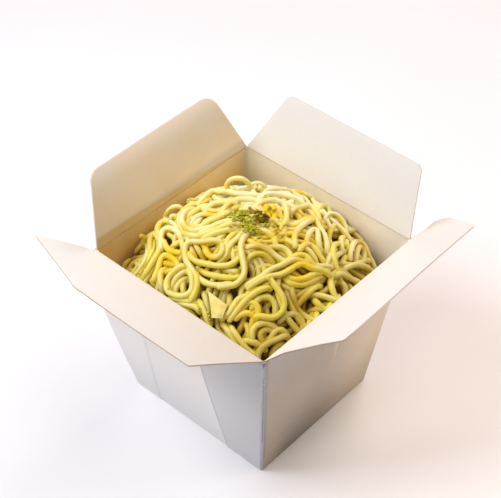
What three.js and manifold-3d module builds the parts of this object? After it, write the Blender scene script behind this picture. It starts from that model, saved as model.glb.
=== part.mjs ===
// Open takeaway box of folded paperboard, filled with a domed heap of noodles.
// Millimetres, +Z up. The origin is the middle of the box's base, on the surface it stands on.
// Sides are named front (-Y), back (+Y), left (-X) and right (+X).
import * as THREE from 'three';
import { mergeVertices } from 'three/addons/utils/BufferGeometryUtils.js';
import Module from 'manifold-3d';

const wasm = await Module();
wasm.setup();

// ---- driving dimensions -------------------------------------------------------------------

const RIM_X = 100;            // outer width at the creases, left to right
const RIM_Y = 101.6;          // outer width at the creases, front to back
const BASE_X = 80.9;          // outer width at the base, left to right
const BASE_Y = 77;            // outer width at the base, front to back
const BOX_HEIGHT = 91;        // base to creases
const BOARD = 0.8;            // thickness of one layer of board
const LAP = 0.4;              // how far a glued corner panel stands proud of its wall
const GAP = 0.3;              // clearance between pieces that touch
const CORNER_RADIUS = 1.5;    // rounding of the upright folds
const WALL_CROWN = 0.8;       // outward bow in the middle of each wall
const LEFT_BELLY = 7.2;       // outward belly of the front left upright fold, at its steepest
const RIM_RECESS_STOP = 2;    // the recess between glued panels ends this far below the crease

// Edges of the glued corner panels on the front and back walls: X at the crease and at the base.
const RIGHT_LAP_EDGE = { rim: 8, base: 19.7 };
const LEFT_LAP_EDGE = { rim: -22.5, base: -24.5 };

// Flaps: width outward from the crease, how far each end is cut in, and the angle at rest,
// from level and outward (0) to upright (90). SWING holds the two end angles on that scale.
const FRONT_FLAP = { width: 22.5, cut: 21.5, rest: 2, swing: [-80, 106] };
const RIGHT_FLAP = { width: 21.5, cut: 27, rest: 20, swing: [-80, 103] };
const LEFT_FLAP = { width: 33.4, cut: [10.5, 13.5], rest: 70, swing: [-80, 140] };
const BACK_FLAP = { width: 32, cut: [13, 9.5], rest: 60, swing: [-80, 106] };
const FRONT_EAR = { reach: 26.5, tip: 11, end: 9.5 };
const RIGHT_EAR = { reach: 21, corner: 5 };
const FLAP_CORNER = { left: 6, back: 3.2 };
const CREASE_END = 1;         // each crease stops this far short of the upright folds

// Heap of noodles: a cap of a large sphere, inside the walls.
const HEAP_RADIUS = 65;
const HEAP_TOP = 108;                     // the highest noodles, above the base
const HEAP_CENTRE = [0.9, -3.3];
const HEAP_CORNER = 66;                   // the noodles in the corners, above the base
const HEAP_BLEND = 9;                     // softness of the change from the dome to the corners
const NOODLE = 3.8;                       // thickness of one noodle
const CORE_DEPTH = 4.2;                   // bare core below the tops of the noodles
const NOODLE_SIDES = 5;
const STEP_LENGTH = 4.6;                  // length of one straight piece of a noodle
const WALL_CLEARANCE = 3.4;               // noodle centre line to the inner face of a wall
const SCATTERED_NOODLES = 15;
const SEED = 20;
const GARNISH_AT = [-1.5, -3];            // middle of the chopped leaf on top
const GARNISH_REACH = 8.2;                // from there to its outermost flakes
const GARNISH_FLAKES = 16;
const CRUMB_AT = [2.5, 0.5];              // browned crumb beside it

// Thin pale slice lying on the front of the heap.
const SLICE = { at: [16.5, -42], length: 13.5, width: 8.5, thickness: 1.5, lift: 0.9 };

// ---- colours ------------------------------------------------------------------------------

const board = new THREE.MeshStandardMaterial({ color: 0xe6dccd, roughness: 0.7, metalness: 0 });
const noodle = new THREE.MeshStandardMaterial({ color: 0xdcc85a, roughness: 0.4, metalness: 0 });
const slicePaste = new THREE.MeshStandardMaterial({ color: 0xd8cc7c, roughness: 0.5, metalness: 0 });

// ---- solids -------------------------------------------------------------------------------

function solidOf(geometry) {
  const bare = geometry.clone();
  bare.deleteAttribute('normal');
  bare.deleteAttribute('uv');
  const merged = mergeVertices(bare, 1e-4);
  return new wasm.Manifold(new wasm.Mesh({
    numProp: 3,
    vertProperties: new Float32Array(merged.attributes.position.array),
    triVerts: new Uint32Array(merged.index.array),
  }));
}

function meshOf(solid, material, name) {
  const { vertProperties, triVerts } = solid.getMesh();
  const geometry = new THREE.BufferGeometry();
  geometry.setAttribute('position', new THREE.BufferAttribute(vertProperties, 3));
  geometry.setIndex(new THREE.BufferAttribute(triVerts, 1));
  geometry.computeVertexNormals();
  const mesh = new THREE.Mesh(geometry, material);
  mesh.name = name;
  return mesh;
}

// Keeps the largest body of a solid and drops loose scraps.
function largestBody(solid) {
  const bodies = solid.decompose();
  bodies.sort((a, b) => b.volume() - a.volume());
  return bodies[0];
}

// Mulberry32: a small seeded generator, so that every run draws the same heap.
function seededRandom(seed) {
  let state = seed;
  return () => {
    state = (state + 0x6d2b79f5) | 0;
    let mixed = Math.imul(state ^ (state >>> 15), 1 | state);
    mixed = (mixed + Math.imul(mixed ^ (mixed >>> 7), 61 | mixed)) ^ mixed;
    return ((mixed ^ (mixed >>> 14)) >>> 0) / 4294967296;
  };
}

// ---- box: four tapered walls and a base -----------------------------------------------------

// Rounded rectangle about the origin, with its straight sides split so that they can bow.
function roundedRectangle(halfX, halfY, radius) {
  const sidePieces = 6;
  const arcPieces = 3;
  const corners = [[1, -1], [1, 1], [-1, 1], [-1, -1]];
  const points = [];
  corners.forEach(([signX, signY], corner) => {
    const centre = new THREE.Vector2(signX * (halfX - radius), signY * (halfY - radius));
    for (let i = 0; i <= arcPieces; i += 1) {
      const angle = (corner - 1 + i / arcPieces) * Math.PI / 2;
      points.push(new THREE.Vector2(Math.cos(angle), Math.sin(angle)).multiplyScalar(radius).add(centre));
    }
    const [nextX, nextY] = corners[(corner + 1) % corners.length];
    const turn = corner * Math.PI / 2;
    const offset = new THREE.Vector2(Math.cos(turn), Math.sin(turn)).multiplyScalar(radius);
    const next = new THREE.Vector2(nextX * (halfX - radius), nextY * (halfY - radius)).add(offset);
    const last = points[points.length - 1].clone();
    for (let i = 1; i < sidePieces; i += 1) points.push(last.clone().lerp(next, i / sidePieces));
  });
  return new THREE.Shape(points);
}

// Solid between two heights that follows the walls' taper, crown and belly, set in by (insetX, insetY).
function wallSolid(insetX, insetY, from, to) {
  const levels = 8;
  const shape = roundedRectangle(RIM_X / 2 - insetX, RIM_Y / 2 - insetY, CORNER_RADIUS);
  const geometry = new THREE.ExtrudeGeometry(shape, {
    depth: to - from, steps: levels, bevelEnabled: false,
  });
  const position = geometry.attributes.position;
  for (let i = 0; i < position.count; i += 1) {
    const z = position.getZ(i) + from;
    const up = z / BOX_HEIGHT;
    const acrossX = position.getX(i) / (RIM_X / 2);
    const acrossY = position.getY(i) / (RIM_Y / 2);
    const crown = WALL_CROWN * Math.max(0, 4 * up * (1 - up));
    const rise = Math.max(0, up * (1 - up ** 3));
    const belly = LEFT_BELLY * rise * (1 - acrossX) * (1 - acrossY) / 4;
    const halfX = THREE.MathUtils.lerp(BASE_X, RIM_X, up) / 2 - insetX;
    const halfY = THREE.MathUtils.lerp(BASE_Y, RIM_Y, up) / 2 - insetY;
    const scaleX = halfX / (RIM_X / 2 - insetX);
    const scaleY = halfY / (RIM_Y / 2 - insetY);
    position.setXYZ(
      i,
      position.getX(i) * scaleX + crown * acrossX * (1 - acrossY ** 2) - belly,
      position.getY(i) * scaleY + crown * acrossY * (1 - acrossX ** 2) - belly,
      z,
    );
  }
  return solidOf(geometry);
}

// The area between the glued panels, as a slab that runs through both the front and back walls.
function openWallSlab() {
  const stop = BOX_HEIGHT - RIM_RECESS_STOP;
  const edgeAt = (edge, z) => THREE.MathUtils.lerp(edge.base, edge.rim, z / BOX_HEIGHT);
  const below = -5;
  const outline = new THREE.Shape([
    new THREE.Vector2(edgeAt(LEFT_LAP_EDGE, below), below),
    new THREE.Vector2(edgeAt(RIGHT_LAP_EDGE, below), below),
    new THREE.Vector2(edgeAt(RIGHT_LAP_EDGE, stop), stop),
    new THREE.Vector2(edgeAt(LEFT_LAP_EDGE, stop), stop),
  ]);
  const slab = new THREE.ExtrudeGeometry(outline, { depth: 2 * RIM_Y, bevelEnabled: false });
  slab.rotateX(Math.PI / 2);
  slab.translate(0, RIM_Y, 0);
  return solidOf(slab);
}

function boxBody() {
  const wallTop = BOX_HEIGHT - GAP;
  const outer = wallSolid(0, 0, 0, wallTop);
  const recessed = wallSolid(-1, LAP, -1, wallTop + 1);
  const panels = outer.subtract(openWallSlab().subtract(recessed));
  const hollow = wallSolid(BOARD, BOARD + LAP, BOARD, wallTop + 1);
  return meshOf(panels.subtract(hollow), board, 'box_body');
}

// ---- flaps ----------------------------------------------------------------------------------

// Back and left flaps: a trapezium with rounded outer corners.
function plainFlapShape(length, { width, cut }, radius) {
  const [start, end] = cut;
  const startEdge = new THREE.Vector2(start - CREASE_END, width).setLength(radius);
  const endEdge = new THREE.Vector2(end - CREASE_END, width).setLength(radius);
  const shape = new THREE.Shape();
  shape.moveTo(CREASE_END, 0);
  shape.lineTo(length - CREASE_END, 0);
  shape.lineTo(length - end + endEdge.x, width - endEdge.y);
  shape.quadraticCurveTo(length - end, width, length - end - radius, width);
  shape.lineTo(start + radius, width);
  shape.quadraticCurveTo(start, width, start - startEdge.x, width - startEdge.y);
  shape.lineTo(CREASE_END, 0);
  return shape;
}

// Front flap: cut in at its right end, with a pointed ear past its left end.
function frontFlapShape(length) {
  const { width, cut } = FRONT_FLAP;
  const { reach, tip, end } = FRONT_EAR;
  const soft = 3;
  const shape = new THREE.Shape();
  shape.moveTo(0, 0);
  shape.lineTo(length - CREASE_END, 0);
  shape.lineTo(length - cut, width);
  shape.lineTo(end + soft, width);
  shape.quadraticCurveTo(end, width, end - soft, width - soft / 2);
  shape.lineTo(1 - reach, tip + 1);
  shape.quadraticCurveTo(-reach, tip, 1 - reach, tip - 1 / 2);
  shape.lineTo(0, 0);
  return shape;
}

// Right flap: cut in at its front end, with a blunt ear past its back end.
function rightFlapShape(length) {
  const { width, cut } = RIGHT_FLAP;
  const { reach, corner } = RIGHT_EAR;
  const far = length + reach;
  const shape = new THREE.Shape();
  shape.moveTo(CREASE_END, 0);
  shape.lineTo(far - 2 * corner, 0);
  shape.quadraticCurveTo(far - corner / 2, 0, far, corner);
  shape.lineTo(far, width - corner / 2);
  shape.quadraticCurveTo(far, width - 1, far - 2, width - 1);
  shape.lineTo(cut, width);
  shape.lineTo(cut / 3, width / 6);
  shape.lineTo(CREASE_END, 0);
  return shape;
}

// A flap's own frame: X runs along the crease, Y outward in the flap, Z up from its outer face.
// Its crease edge is bevelled, so that it clears the wall's top when it folds inward.
function flapSolid(shape, swing) {
  const geometry = new THREE.ExtrudeGeometry(shape, {
    depth: BOARD, bevelEnabled: false, curveSegments: 5,
  });
  const inward = THREE.MathUtils.degToRad(swing[1] - 90);
  const reach = 300;
  const wedge = new THREE.Shape([
    new THREE.Vector2(-5, -1),
    new THREE.Vector2(-Math.tan(inward), -1),
    new THREE.Vector2(Math.tan(inward) * 2 * BOARD, 2 * BOARD),
    new THREE.Vector2(-5, 2 * BOARD),
  ]);
  const cutter = new THREE.ExtrudeGeometry(wedge, { depth: 2 * reach, bevelEnabled: false });
  const axes = new THREE.Matrix4().makeBasis(
    new THREE.Vector3(0, 1, 0), new THREE.Vector3(0, 0, 1), new THREE.Vector3(1, 0, 0),
  );
  cutter.applyMatrix4(axes);
  cutter.translate(-reach, 0, 0);
  return largestBody(solidOf(geometry).subtract(solidOf(cutter)));
}

// Places a flap: turn is the crease's direction about Z, lift its angle from level.
function placedFlap(solid, name, origin, turn, lift) {
  const mesh = meshOf(solid, board, name);
  const crease = new THREE.Group();
  crease.position.set(...origin);
  crease.rotation.z = THREE.MathUtils.degToRad(turn);
  mesh.rotation.x = THREE.MathUtils.degToRad(lift);
  crease.add(mesh);
  return crease;
}

function flaps() {
  const halfX = RIM_X / 2;
  const halfY = RIM_Y / 2;
  const mirrored = (shape, length) => new THREE.Shape(
    shape.getPoints(5).map((p) => new THREE.Vector2(length - p.x, p.y)).reverse(),
  );
  const frontShape = mirrored(frontFlapShape(RIM_X), RIM_X);
  const rightShape = mirrored(rightFlapShape(RIM_Y), RIM_Y);
  const backShape = plainFlapShape(RIM_X, BACK_FLAP, FLAP_CORNER.back);
  const leftShape = plainFlapShape(RIM_Y, LEFT_FLAP, FLAP_CORNER.left);
  const pieces = [
    ['flap_front', frontShape, FRONT_FLAP, [halfX, -halfY], 180],
    ['flap_right', rightShape, RIGHT_FLAP, [halfX, halfY], -90],
    ['flap_back', backShape, BACK_FLAP, [-halfX, halfY], 0],
    ['flap_left', leftShape, LEFT_FLAP, [-halfX, -halfY], 90],
  ];
  return pieces.map(([name, shape, size, [x, y], turn]) => placedFlap(
    flapSolid(shape, size.swing), name, [x, y, BOX_HEIGHT], turn, size.rest,
  ));
}

// ---- noodles ----------------------------------------------------------------------------------

// Height of the heap's outer surface over the point (x, y).
function heapHeight(x, y) {
  const outX = x - HEAP_CENTRE[0];
  const outY = y - HEAP_CENTRE[1];
  const rise = Math.sqrt(Math.max(0, HEAP_RADIUS ** 2 - outX ** 2 - outY ** 2));
  const dome = HEAP_TOP - HEAP_RADIUS + rise;
  return (dome + HEAP_CORNER + Math.hypot(dome - HEAP_CORNER, HEAP_BLEND)) / 2;
}

// Moves a point of a noodle's centre line inside the walls.
function insideWalls(x, y) {
  const limitX = RIM_X / 2 - BOARD - WALL_CLEARANCE;
  const limitY = RIM_Y / 2 - BOARD - LAP - WALL_CLEARANCE;
  return [THREE.MathUtils.clamp(x, -limitX, limitX), THREE.MathUtils.clamp(y, -limitY, limitY)];
}

// Centre line on the heap through plan points [x, y, lift]; both ends dive into the core.
function heapCurve(points) {
  const last = points.length - 1;
  const places = points.map(([x, y, lift = 0], i) => {
    const [insideX, insideY] = insideWalls(x, y);
    const dive = i === 0 || i === last ? NOODLE : 0;
    const z = heapHeight(insideX, insideY) - NOODLE / 2 + lift - dive;
    return new THREE.Vector3(insideX, insideY, z);
  });
  return new THREE.CatmullRomCurve3(places, false, 'centripetal');
}

// Plan points of a ring or a spiral: centre, radii at its start and end, and angles in degrees.
function ringPoints([x, y], [startRadius, endRadius], [from, sweep], squash = 1, lift = 0) {
  const count = Math.max(4, Math.round(Math.abs(sweep) / 45));
  return Array.from({ length: count + 1 }, (_, i) => {
    const along = i / count;
    const angle = THREE.MathUtils.degToRad(from + sweep * along);
    const radius = THREE.MathUtils.lerp(startRadius, endRadius, along);
    const bulge = lift * Math.sin(Math.PI * along);
    return [x + radius * Math.cos(angle), y + radius * squash * Math.sin(angle), bulge];
  });
}

function noodleSolid(curve) {
  const outline = Array.from({ length: NOODLE_SIDES }, (_, i) => {
    const angle = (i / NOODLE_SIDES) * 2 * Math.PI;
    return new THREE.Vector2(Math.cos(angle), Math.sin(angle)).multiplyScalar(NOODLE / 2);
  });
  const steps = Math.max(6, Math.round(curve.getLength() / STEP_LENGTH));
  return solidOf(new THREE.ExtrudeGeometry(new THREE.Shape(outline), {
    steps, extrudePath: curve, bevelEnabled: false,
  }));
}

// The noodles that stand out on the heap, largest first.
function mainNoodles() {
  return [
    // wide bundle that hooks round in the middle of the front
    [[8, -9], [-6, -16], [-15, -26], [-13, -32], [-4, -37], [8, -35], [16, -26]],
    ringPoints([0, -24], [9.5, 9], [70, 250], 0.8),
    // long S from the garnish down to the front
    [[10, 0], [4, -8, 0.8], [6, -16, 1], [10, -21, 1], [15, -26, 1], [11, -36]],
    // loops at the left and at the top
    ringPoints([-36, -10], [6, 5.5], [-40, 300], 1, 1.5),
    [[-24, 2], [-36, 1, 0.5], [-40, -6, 0.5], [-34, -15, 0.5], [-22, -21]],
    ringPoints([-24, 16], [6.5, 6], [-60, 300], 0.9, 4),
    // nested curls down the front left and in the front corner
    ringPoints([-8, -41.5], [6, 5.5], [20, 300], 0.8, 0.8),
    ringPoints([36, -33], [8, 3], [110, -500], 1, 0.6),
    // noodle with a free bend towards the right
    [[25, -17], [32, -20, 1], [36, -23, 1], [33, -30, 0.6], [26, -36]],
    [[38, -44], [37, -40, 0.8], [40, -33, 0.8], [43, -24]],
    [[21, -41], [27, -43, 0.4], [33, -43, 0.4], [39, -42]],
    // runs across the middle and the right
    [[7, -12], [14, -8, 0.5], [23, -6, 0.5], [31, 3]],
    [[16, -33], [20, -23, 0.5], [24, -12, 0.5], [31, -3, 0.5], [41, 1]],
    ringPoints([35, 27], [7.5, 7], [-100, 290], 1, 0.8),
    [[-10, 22], [0, 30, 0.5], [13, 31, 0.5], [25, 24]],
    [[-41, 0], [-36, 8, 0.6], [-27, 16, 0.8], [-13, 14, 0.6], [0, 22]],
    [[-45, -20], [-38, -29, 0.4], [-33, -37], [-22, -44]],
    [[-28, -25], [-25, -33, 0.4], [-27, -40], [-34, -45]],
    // one bend down in each corner
    ...[[-1, -1], [1, -1], [1, 1], [-1, 1]].map(([sideX, sideY]) => [
      [sideX * 44, sideY * 28], [sideX * 42, sideY * 37], [sideX * 37, sideY * 42], [sideX * 28, sideY * 44],
    ]),
  ];
}

// Fill between them: bends of random size, each where the heap is still barest.
function scatteredNoodles(taken) {
  const random = seededRandom(SEED);
  const reach = 43;
  const placed = [];
  const middles = taken.flat().map(([x, y]) => [x, y]);
  for (let i = 0; i < SCATTERED_NOODLES; i += 1) {
    let best = null;
    for (let attempt = 0; attempt < 40; attempt += 1) {
      const x = (2 * random() - 1) * reach;
      const y = (2 * random() - 1) * reach;
      const clear = Math.min(...middles.map(([mx, my]) => Math.hypot(mx - x, my - y)));
      if (best === null || clear > best.clear) best = { x, y, clear };
    }
    const radius = 9 + 6 * random();
    const from = 360 * random();
    const sweep = 130 + 80 * random();
    const lift = 1.4 * random();
    const points = ringPoints([best.x, best.y], [radius, radius], [from, sweep], 0.8, lift);
    middles.push([best.x, best.y], ...points.map(([x, y]) => [x, y]));
    placed.push(points);
  }
  return placed;
}

// Chopped green leaf and one browned crumb, heaped on the highest noodles.
function garnishSolids() {
  const random = seededRandom(SEED + 1);
  const goldenAngle = 2.4;
  const solids = [];
  for (let i = 0; i < GARNISH_FLAKES; i += 1) {
    const angle = i * goldenAngle;
    const out = GARNISH_REACH * Math.sqrt((i + 0.5) / GARNISH_FLAKES);
    const x = GARNISH_AT[0] + out * Math.cos(angle);
    const y = GARNISH_AT[1] + 0.75 * out * Math.sin(angle);
    const flake = new THREE.OctahedronGeometry(1);
    flake.scale(1.9 + random(), 1.3 + 0.6 * random(), 0.9);
    flake.rotateX(0.8 * (random() - 0.5));
    flake.rotateZ(2 * Math.PI * random());
    flake.translate(x, y, heapHeight(x, y) - 0.2);
    solids.push(solidOf(flake));
  }
  const crumb = new THREE.IcosahedronGeometry(1, 1);
  crumb.scale(3.4, 2.4, 1.9);
  crumb.rotateZ(0.7);
  crumb.translate(CRUMB_AT[0], CRUMB_AT[1], heapHeight(...CRUMB_AT) + 0.2);
  solids.push(solidOf(crumb));
  return solids;
}

// The space that the noodles may fill between the walls, up to a height.
function heapFill(top) {
  return wallSolid(BOARD + GAP, BOARD + LAP + GAP, BOARD + GAP, top);
}

// Everything under the noodles that show: a block whose top follows the heap.
function heapCore() {
  const cells = 26;
  const block = new THREE.BoxGeometry(RIM_X + 10, RIM_Y + 10, BOX_HEIGHT, cells, cells, 1);
  const { position } = block.attributes;
  for (let i = 0; i < position.count; i += 1) {
    if (position.getZ(i) > 0) {
      position.setZ(i, heapHeight(position.getX(i), position.getY(i)) - CORE_DEPTH);
    }
  }
  return heapFill(HEAP_TOP).intersect(solidOf(block));
}

function noodleHeap(cutter) {
  const mainPaths = mainNoodles();
  const paths = [...mainPaths, ...scatteredNoodles(mainPaths)];
  const inside = heapFill(BOX_HEIGHT + 30);
  let heap = heapCore();
  paths.forEach((points) => {
    heap = heap.add(noodleSolid(heapCurve(points)));
  });
  garnishSolids().forEach((solid) => {
    heap = heap.add(solid);
  });
  heap = largestBody(heap.intersect(inside).subtract(cutter));
  return meshOf(heap, noodle, 'noodles');
}

// ---- slice ----------------------------------------------------------------------------------

// A kite with one pointed end, bent across its width, lying along the heap's slope.
function sliceGeometry(grow) {
  const { length, width, thickness, at, lift } = SLICE;
  const outline = new THREE.Shape([
    new THREE.Vector2(-0.5 * length - grow, -0.05 * width),
    new THREE.Vector2(0.42 * length + grow, -0.5 * width - grow),
    new THREE.Vector2(0.5 * length + grow, 0.2 * width),
    new THREE.Vector2(0.15 * length, 0.5 * width + grow),
    new THREE.Vector2(-0.1 * length, 0.25 * width + grow),
  ]);
  const slab = new THREE.ExtrudeGeometry(outline, {
    depth: thickness + 2 * grow, bevelEnabled: false,
  });
  slab.translate(0, 0, -thickness / 2 - grow);
  const [x, y] = at;
  const z = heapHeight(x, y) + lift;
  const centre = new THREE.Vector3(HEAP_CENTRE[0], HEAP_CENTRE[1], HEAP_TOP - HEAP_RADIUS);
  const normal = new THREE.Vector3(x, y, z).sub(centre).normalize();
  const along = new THREE.Vector3(0.85, -0.55, 0).projectOnPlane(normal).normalize();
  const across = new THREE.Vector3().crossVectors(normal, along);
  slab.applyMatrix4(new THREE.Matrix4().makeBasis(along, across, normal));
  slab.translate(x, y, z);
  return slab;
}

// ---- assembly ---------------------------------------------------------------------------------

const takeawayBox = new THREE.Group();
takeawayBox.add(boxBody());
flaps().forEach((flap) => takeawayBox.add(flap));
takeawayBox.add(noodleHeap(solidOf(sliceGeometry(GAP))));
takeawayBox.add(meshOf(solidOf(sliceGeometry(0)), slicePaste, 'pale_slice'));

export default takeawayBox;
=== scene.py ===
"""Open takeaway box of folded paperboard, heaped with noodles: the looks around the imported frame.

Laid out as a Blender add-on and run as a script. Sizes inside the functions are millimetres, in
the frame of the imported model: +Z up, the origin in the middle of the box's base.
"""

import math

import bpy
import numpy as np
from bpy.props import FloatProperty, FloatVectorProperty, IntProperty, PointerProperty
from mathutils import Matrix


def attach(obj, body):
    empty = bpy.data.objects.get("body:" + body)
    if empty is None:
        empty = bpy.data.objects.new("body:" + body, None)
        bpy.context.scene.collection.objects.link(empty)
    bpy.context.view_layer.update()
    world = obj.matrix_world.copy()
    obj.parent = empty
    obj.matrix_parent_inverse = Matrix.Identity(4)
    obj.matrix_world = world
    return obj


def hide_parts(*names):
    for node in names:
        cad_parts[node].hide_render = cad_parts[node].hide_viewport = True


bl_info = {
    "name": "Noodle takeaway box",
    "version": (1, 0, 0),
    "blender": (4, 5, 0),
    "location": "3D View > Sidebar > Takeaway",
    "description": "Builds an open paperboard takeaway box heaped with noodles",
    "category": "Add Mesh",
}

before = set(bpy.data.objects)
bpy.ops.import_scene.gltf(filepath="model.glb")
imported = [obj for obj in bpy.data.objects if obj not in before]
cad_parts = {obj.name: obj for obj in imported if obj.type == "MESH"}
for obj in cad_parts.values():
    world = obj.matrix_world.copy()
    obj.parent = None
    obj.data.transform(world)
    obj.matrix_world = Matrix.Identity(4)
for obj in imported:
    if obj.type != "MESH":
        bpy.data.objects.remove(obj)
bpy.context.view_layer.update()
MM = 0.001

# ---- sizes shared with the solids, in millimetres -------------------------------------------

RIM_X, RIM_Y = 100.0, 101.6
BASE_X, BASE_Y = 80.9, 77.0
BOX_HEIGHT = 91.0
LAP = 0.4
CORNER_RADIUS = 1.5
WALL_CROWN = 0.8
LEFT_BELLY = 7.2
CREASE_END = 1.0
RIGHT_LAP_EDGE = {"rim": 8.0, "base": 19.7}
LEFT_LAP_EDGE = {"rim": -22.5, "base": -24.5}
HEAP_RADIUS, HEAP_TOP, HEAP_CORNER, HEAP_BLEND = 65.0, 108.0, 66.0, 9.0
HEAP_CENTRE = (0.9, -3.3)
NOODLE_CLEARANCE, CORE_CLEARANCE = (1.0, 1.4), (2.2, 2.4)
LAYER_DEPTH = 1.6

# Level direction in which the heap's front lies, and a value for where the board has no band.
FRONT_X, FRONT_Y = 0.65, -0.76
NO_BAND = -9.0

# ---- stage, in metres and degrees ------------------------------------------------------------

AIM = (0.0, 0.0, 0.06)
LIGHTS = {
    "key": {"place": (-0.43, -0.43, 0.83), "aim": AIM, "size": 0.5, "colour": (0.88, 0.89, 1.0)},
    "front": {"place": (0.0, -0.91, 0.43), "aim": AIM, "size": 0.5, "colour": (1.0, 0.98, 0.90)},
    "back": {"place": (0.0, 0.60, 0.83), "aim": AIM, "size": 0.5, "colour": (1.0, 0.84, 0.78)},
    "top": {"place": (0.36, 0.15, 0.98), "aim": AIM, "size": 0.5, "colour": (1.0, 0.84, 0.78)},
    "side": {
        "place": (0.24, 0.22, 0.10), "aim": (0.05, 0.045, 0.05), "size": 0.12,
        "colour": (1.0, 0.85, 0.65),
    },
}
SKY_COLOUR = (1.0, 0.87, 0.84, 1.0)
CAMERA_AZIMUTH, CAMERA_ELEVATION, CAMERA_ROLL = 40.749, 43.194, 1.259
CAMERA_DISTANCE, CAMERA_SHIFT, CAMERA_LENS = 0.6891, (-0.000389, 0.064677), 100.78
FLOOR_REACH, FLOOR_DROP, FLOOR_COUNT = 1800.0, 0.05, 9


# ---- settings --------------------------------------------------------------------------------


class TakeawayBoxSizes(bpy.types.PropertyGroup):
    board: FloatProperty(
        name="Board", description="Thickness of one layer of board", default=0.0008, unit="LENGTH"
    )
    crease_gap: FloatProperty(
        name="Crease gap", description="Clearance round each crease", default=0.00004, unit="LENGTH"
    )


class TakeawayNoodleSizes(bpy.types.PropertyGroup):
    thickness: FloatProperty(
        name="Thickness", description="Thickness of one noodle", default=0.0028, unit="LENGTH"
    )
    bundles: IntProperty(
        name="Bundles", description="Bundles of noodles laid under those on top", default=420
    )
    seed: IntProperty(name="Seed", description="Seed of every random draw", default=7)


def colour_setting(name, description, default):
    """A colour in the panel, its channels from 0 to 1."""
    return FloatVectorProperty(
        name=name, description=description, default=default, subtype="COLOR", min=0.0, max=1.0
    )


class TakeawayColours(bpy.types.PropertyGroup):
    outside: colour_setting("Board outside", "Coated outer face", (0.78, 0.765, 0.765))
    inside: colour_setting("Board inside", "Inner face", (0.82, 0.80, 0.735))
    # Cut edge: its dark brown is partly the raw edge's own colour and partly painted shade; the
    # clean edge is the raw edge without that painted shade.
    cut_edge: colour_setting("Cut edge", "Raw edge of the board", (0.46, 0.37, 0.26))
    clean_edge: colour_setting("Clean edge", "Raw edge that kept pale", (0.78, 0.73, 0.68))
    worn_fold: colour_setting("Worn fold", "Flecks on a rubbed fold", (0.62, 0.61, 0.62))
    noodle: colour_setting("Noodle", "Cooked noodle", (0.84, 0.765, 0.14))
    # The sauce colour also gives the dark colour of the painted shade deep in the heap.
    sauce: colour_setting("Sauce", "Golden sauce between the noodles", (0.78, 0.56, 0.012))
    leaf: colour_setting("Leaf", "Chopped leaf", (0.29, 0.32, 0.004))
    leaf_light: colour_setting("Light leaf", "Light patches of the leaf", (0.56, 0.53, 0.025))
    leaf_dry: colour_setting("Dry leaf", "The driest shreds of leaf", (0.66, 0.61, 0.08))
    crumb: colour_setting("Crumb", "Browned crumb", (0.125, 0.072, 0.001))
    crumb_light: colour_setting("Light crumb", "Light patches of a crumb", (0.19, 0.115, 0.002))
    crumb_small: colour_setting("Small crumb", "The smallest crumbs", (0.42, 0.26, 0.01))
    slice_flesh: colour_setting("Slice", "Thin pale slice", (0.88, 0.76, 0.28))
    floor: colour_setting("Floor", "Pale floor of the stage", (0.90, 0.90, 0.90))
    floor_light: colour_setting("Light floor", "Light patches of the floor", (0.92, 0.92, 0.92))


class TakeawayLight(bpy.types.PropertyGroup):
    key_power: FloatProperty(
        name="Key", description="Large soft light at the front left", default=7.6, unit="POWER"
    )
    front_power: FloatProperty(
        name="Front", description="Low soft light in front", default=2.6, unit="POWER"
    )
    back_power: FloatProperty(
        name="Back", description="Warm soft light behind", default=4.6, unit="POWER"
    )
    top_power: FloatProperty(
        name="Top", description="Warm soft light overhead", default=2.3, unit="POWER"
    )
    side_power: FloatProperty(
        name="Side", description="Small warm light low at the right", default=0.22, unit="POWER"
    )
    sky: FloatProperty(name="Sky", description="Strength of the even light all round", default=0.13)


class TakeawaySettings(bpy.types.PropertyGroup):
    box: PointerProperty(type=TakeawayBoxSizes)
    noodles: PointerProperty(type=TakeawayNoodleSizes)
    colours: PointerProperty(type=TakeawayColours)
    light: PointerProperty(type=TakeawayLight)


def settings():
    """The settings of the open scene."""
    return bpy.context.scene.takeaway


# ---- mesh helpers ----------------------------------------------------------------------------


def smooth_step(low, high, value):
    """0 below low, 1 above high, and t * t * (3 - 2t) between."""
    t = np.clip((np.asarray(value, float) - low) / (high - low), 0.0, 1.0)
    return t * t * (3.0 - 2.0 * t)


def grid_faces(index, around=False):
    """Two triangles for each cell of a grid of vertex numbers; around joins its side columns."""
    right = np.roll(index, -1, axis=1) if around else index[:, 1:]
    left = index if around else index[:, :-1]
    a, b, c, d = left[:-1], right[:-1], right[1:], left[1:]
    return np.concatenate([
        np.stack([a, b, c], -1).reshape(-1, 3),
        np.stack([a, c, d], -1).reshape(-1, 3),
    ])


def fan_faces(ring, centre):
    """Triangles from each edge of a closed ring of vertex numbers to one centre."""
    return np.stack([ring, np.roll(ring, -1), np.full(len(ring), centre)], -1)


def slab_faces(count):
    """Triangles of two square grids of points, one below the other, joined round the edge."""
    upper = np.arange(count * count).reshape(count, count)
    lower = upper + count * count
    edge = np.concatenate([upper[0, :-1], upper[:-1, -1], upper[-1, :0:-1], upper[:0:-1, 0]])
    side = grid_faces(np.stack([edge, edge + count * count]), around=True)
    return np.concatenate([grid_faces(upper), grid_faces(lower)[:, ::-1], side])


def facing_out(points, faces):
    """Turns the triangles of a closed mesh so that its signed volume is positive."""
    a, b, c = points[faces[:, 0]], points[faces[:, 1]], points[faces[:, 2]]
    volume = np.einsum("ij,ij->i", a, np.cross(b, c)).sum()
    return faces if volume > 0 else faces[:, ::-1]


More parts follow.
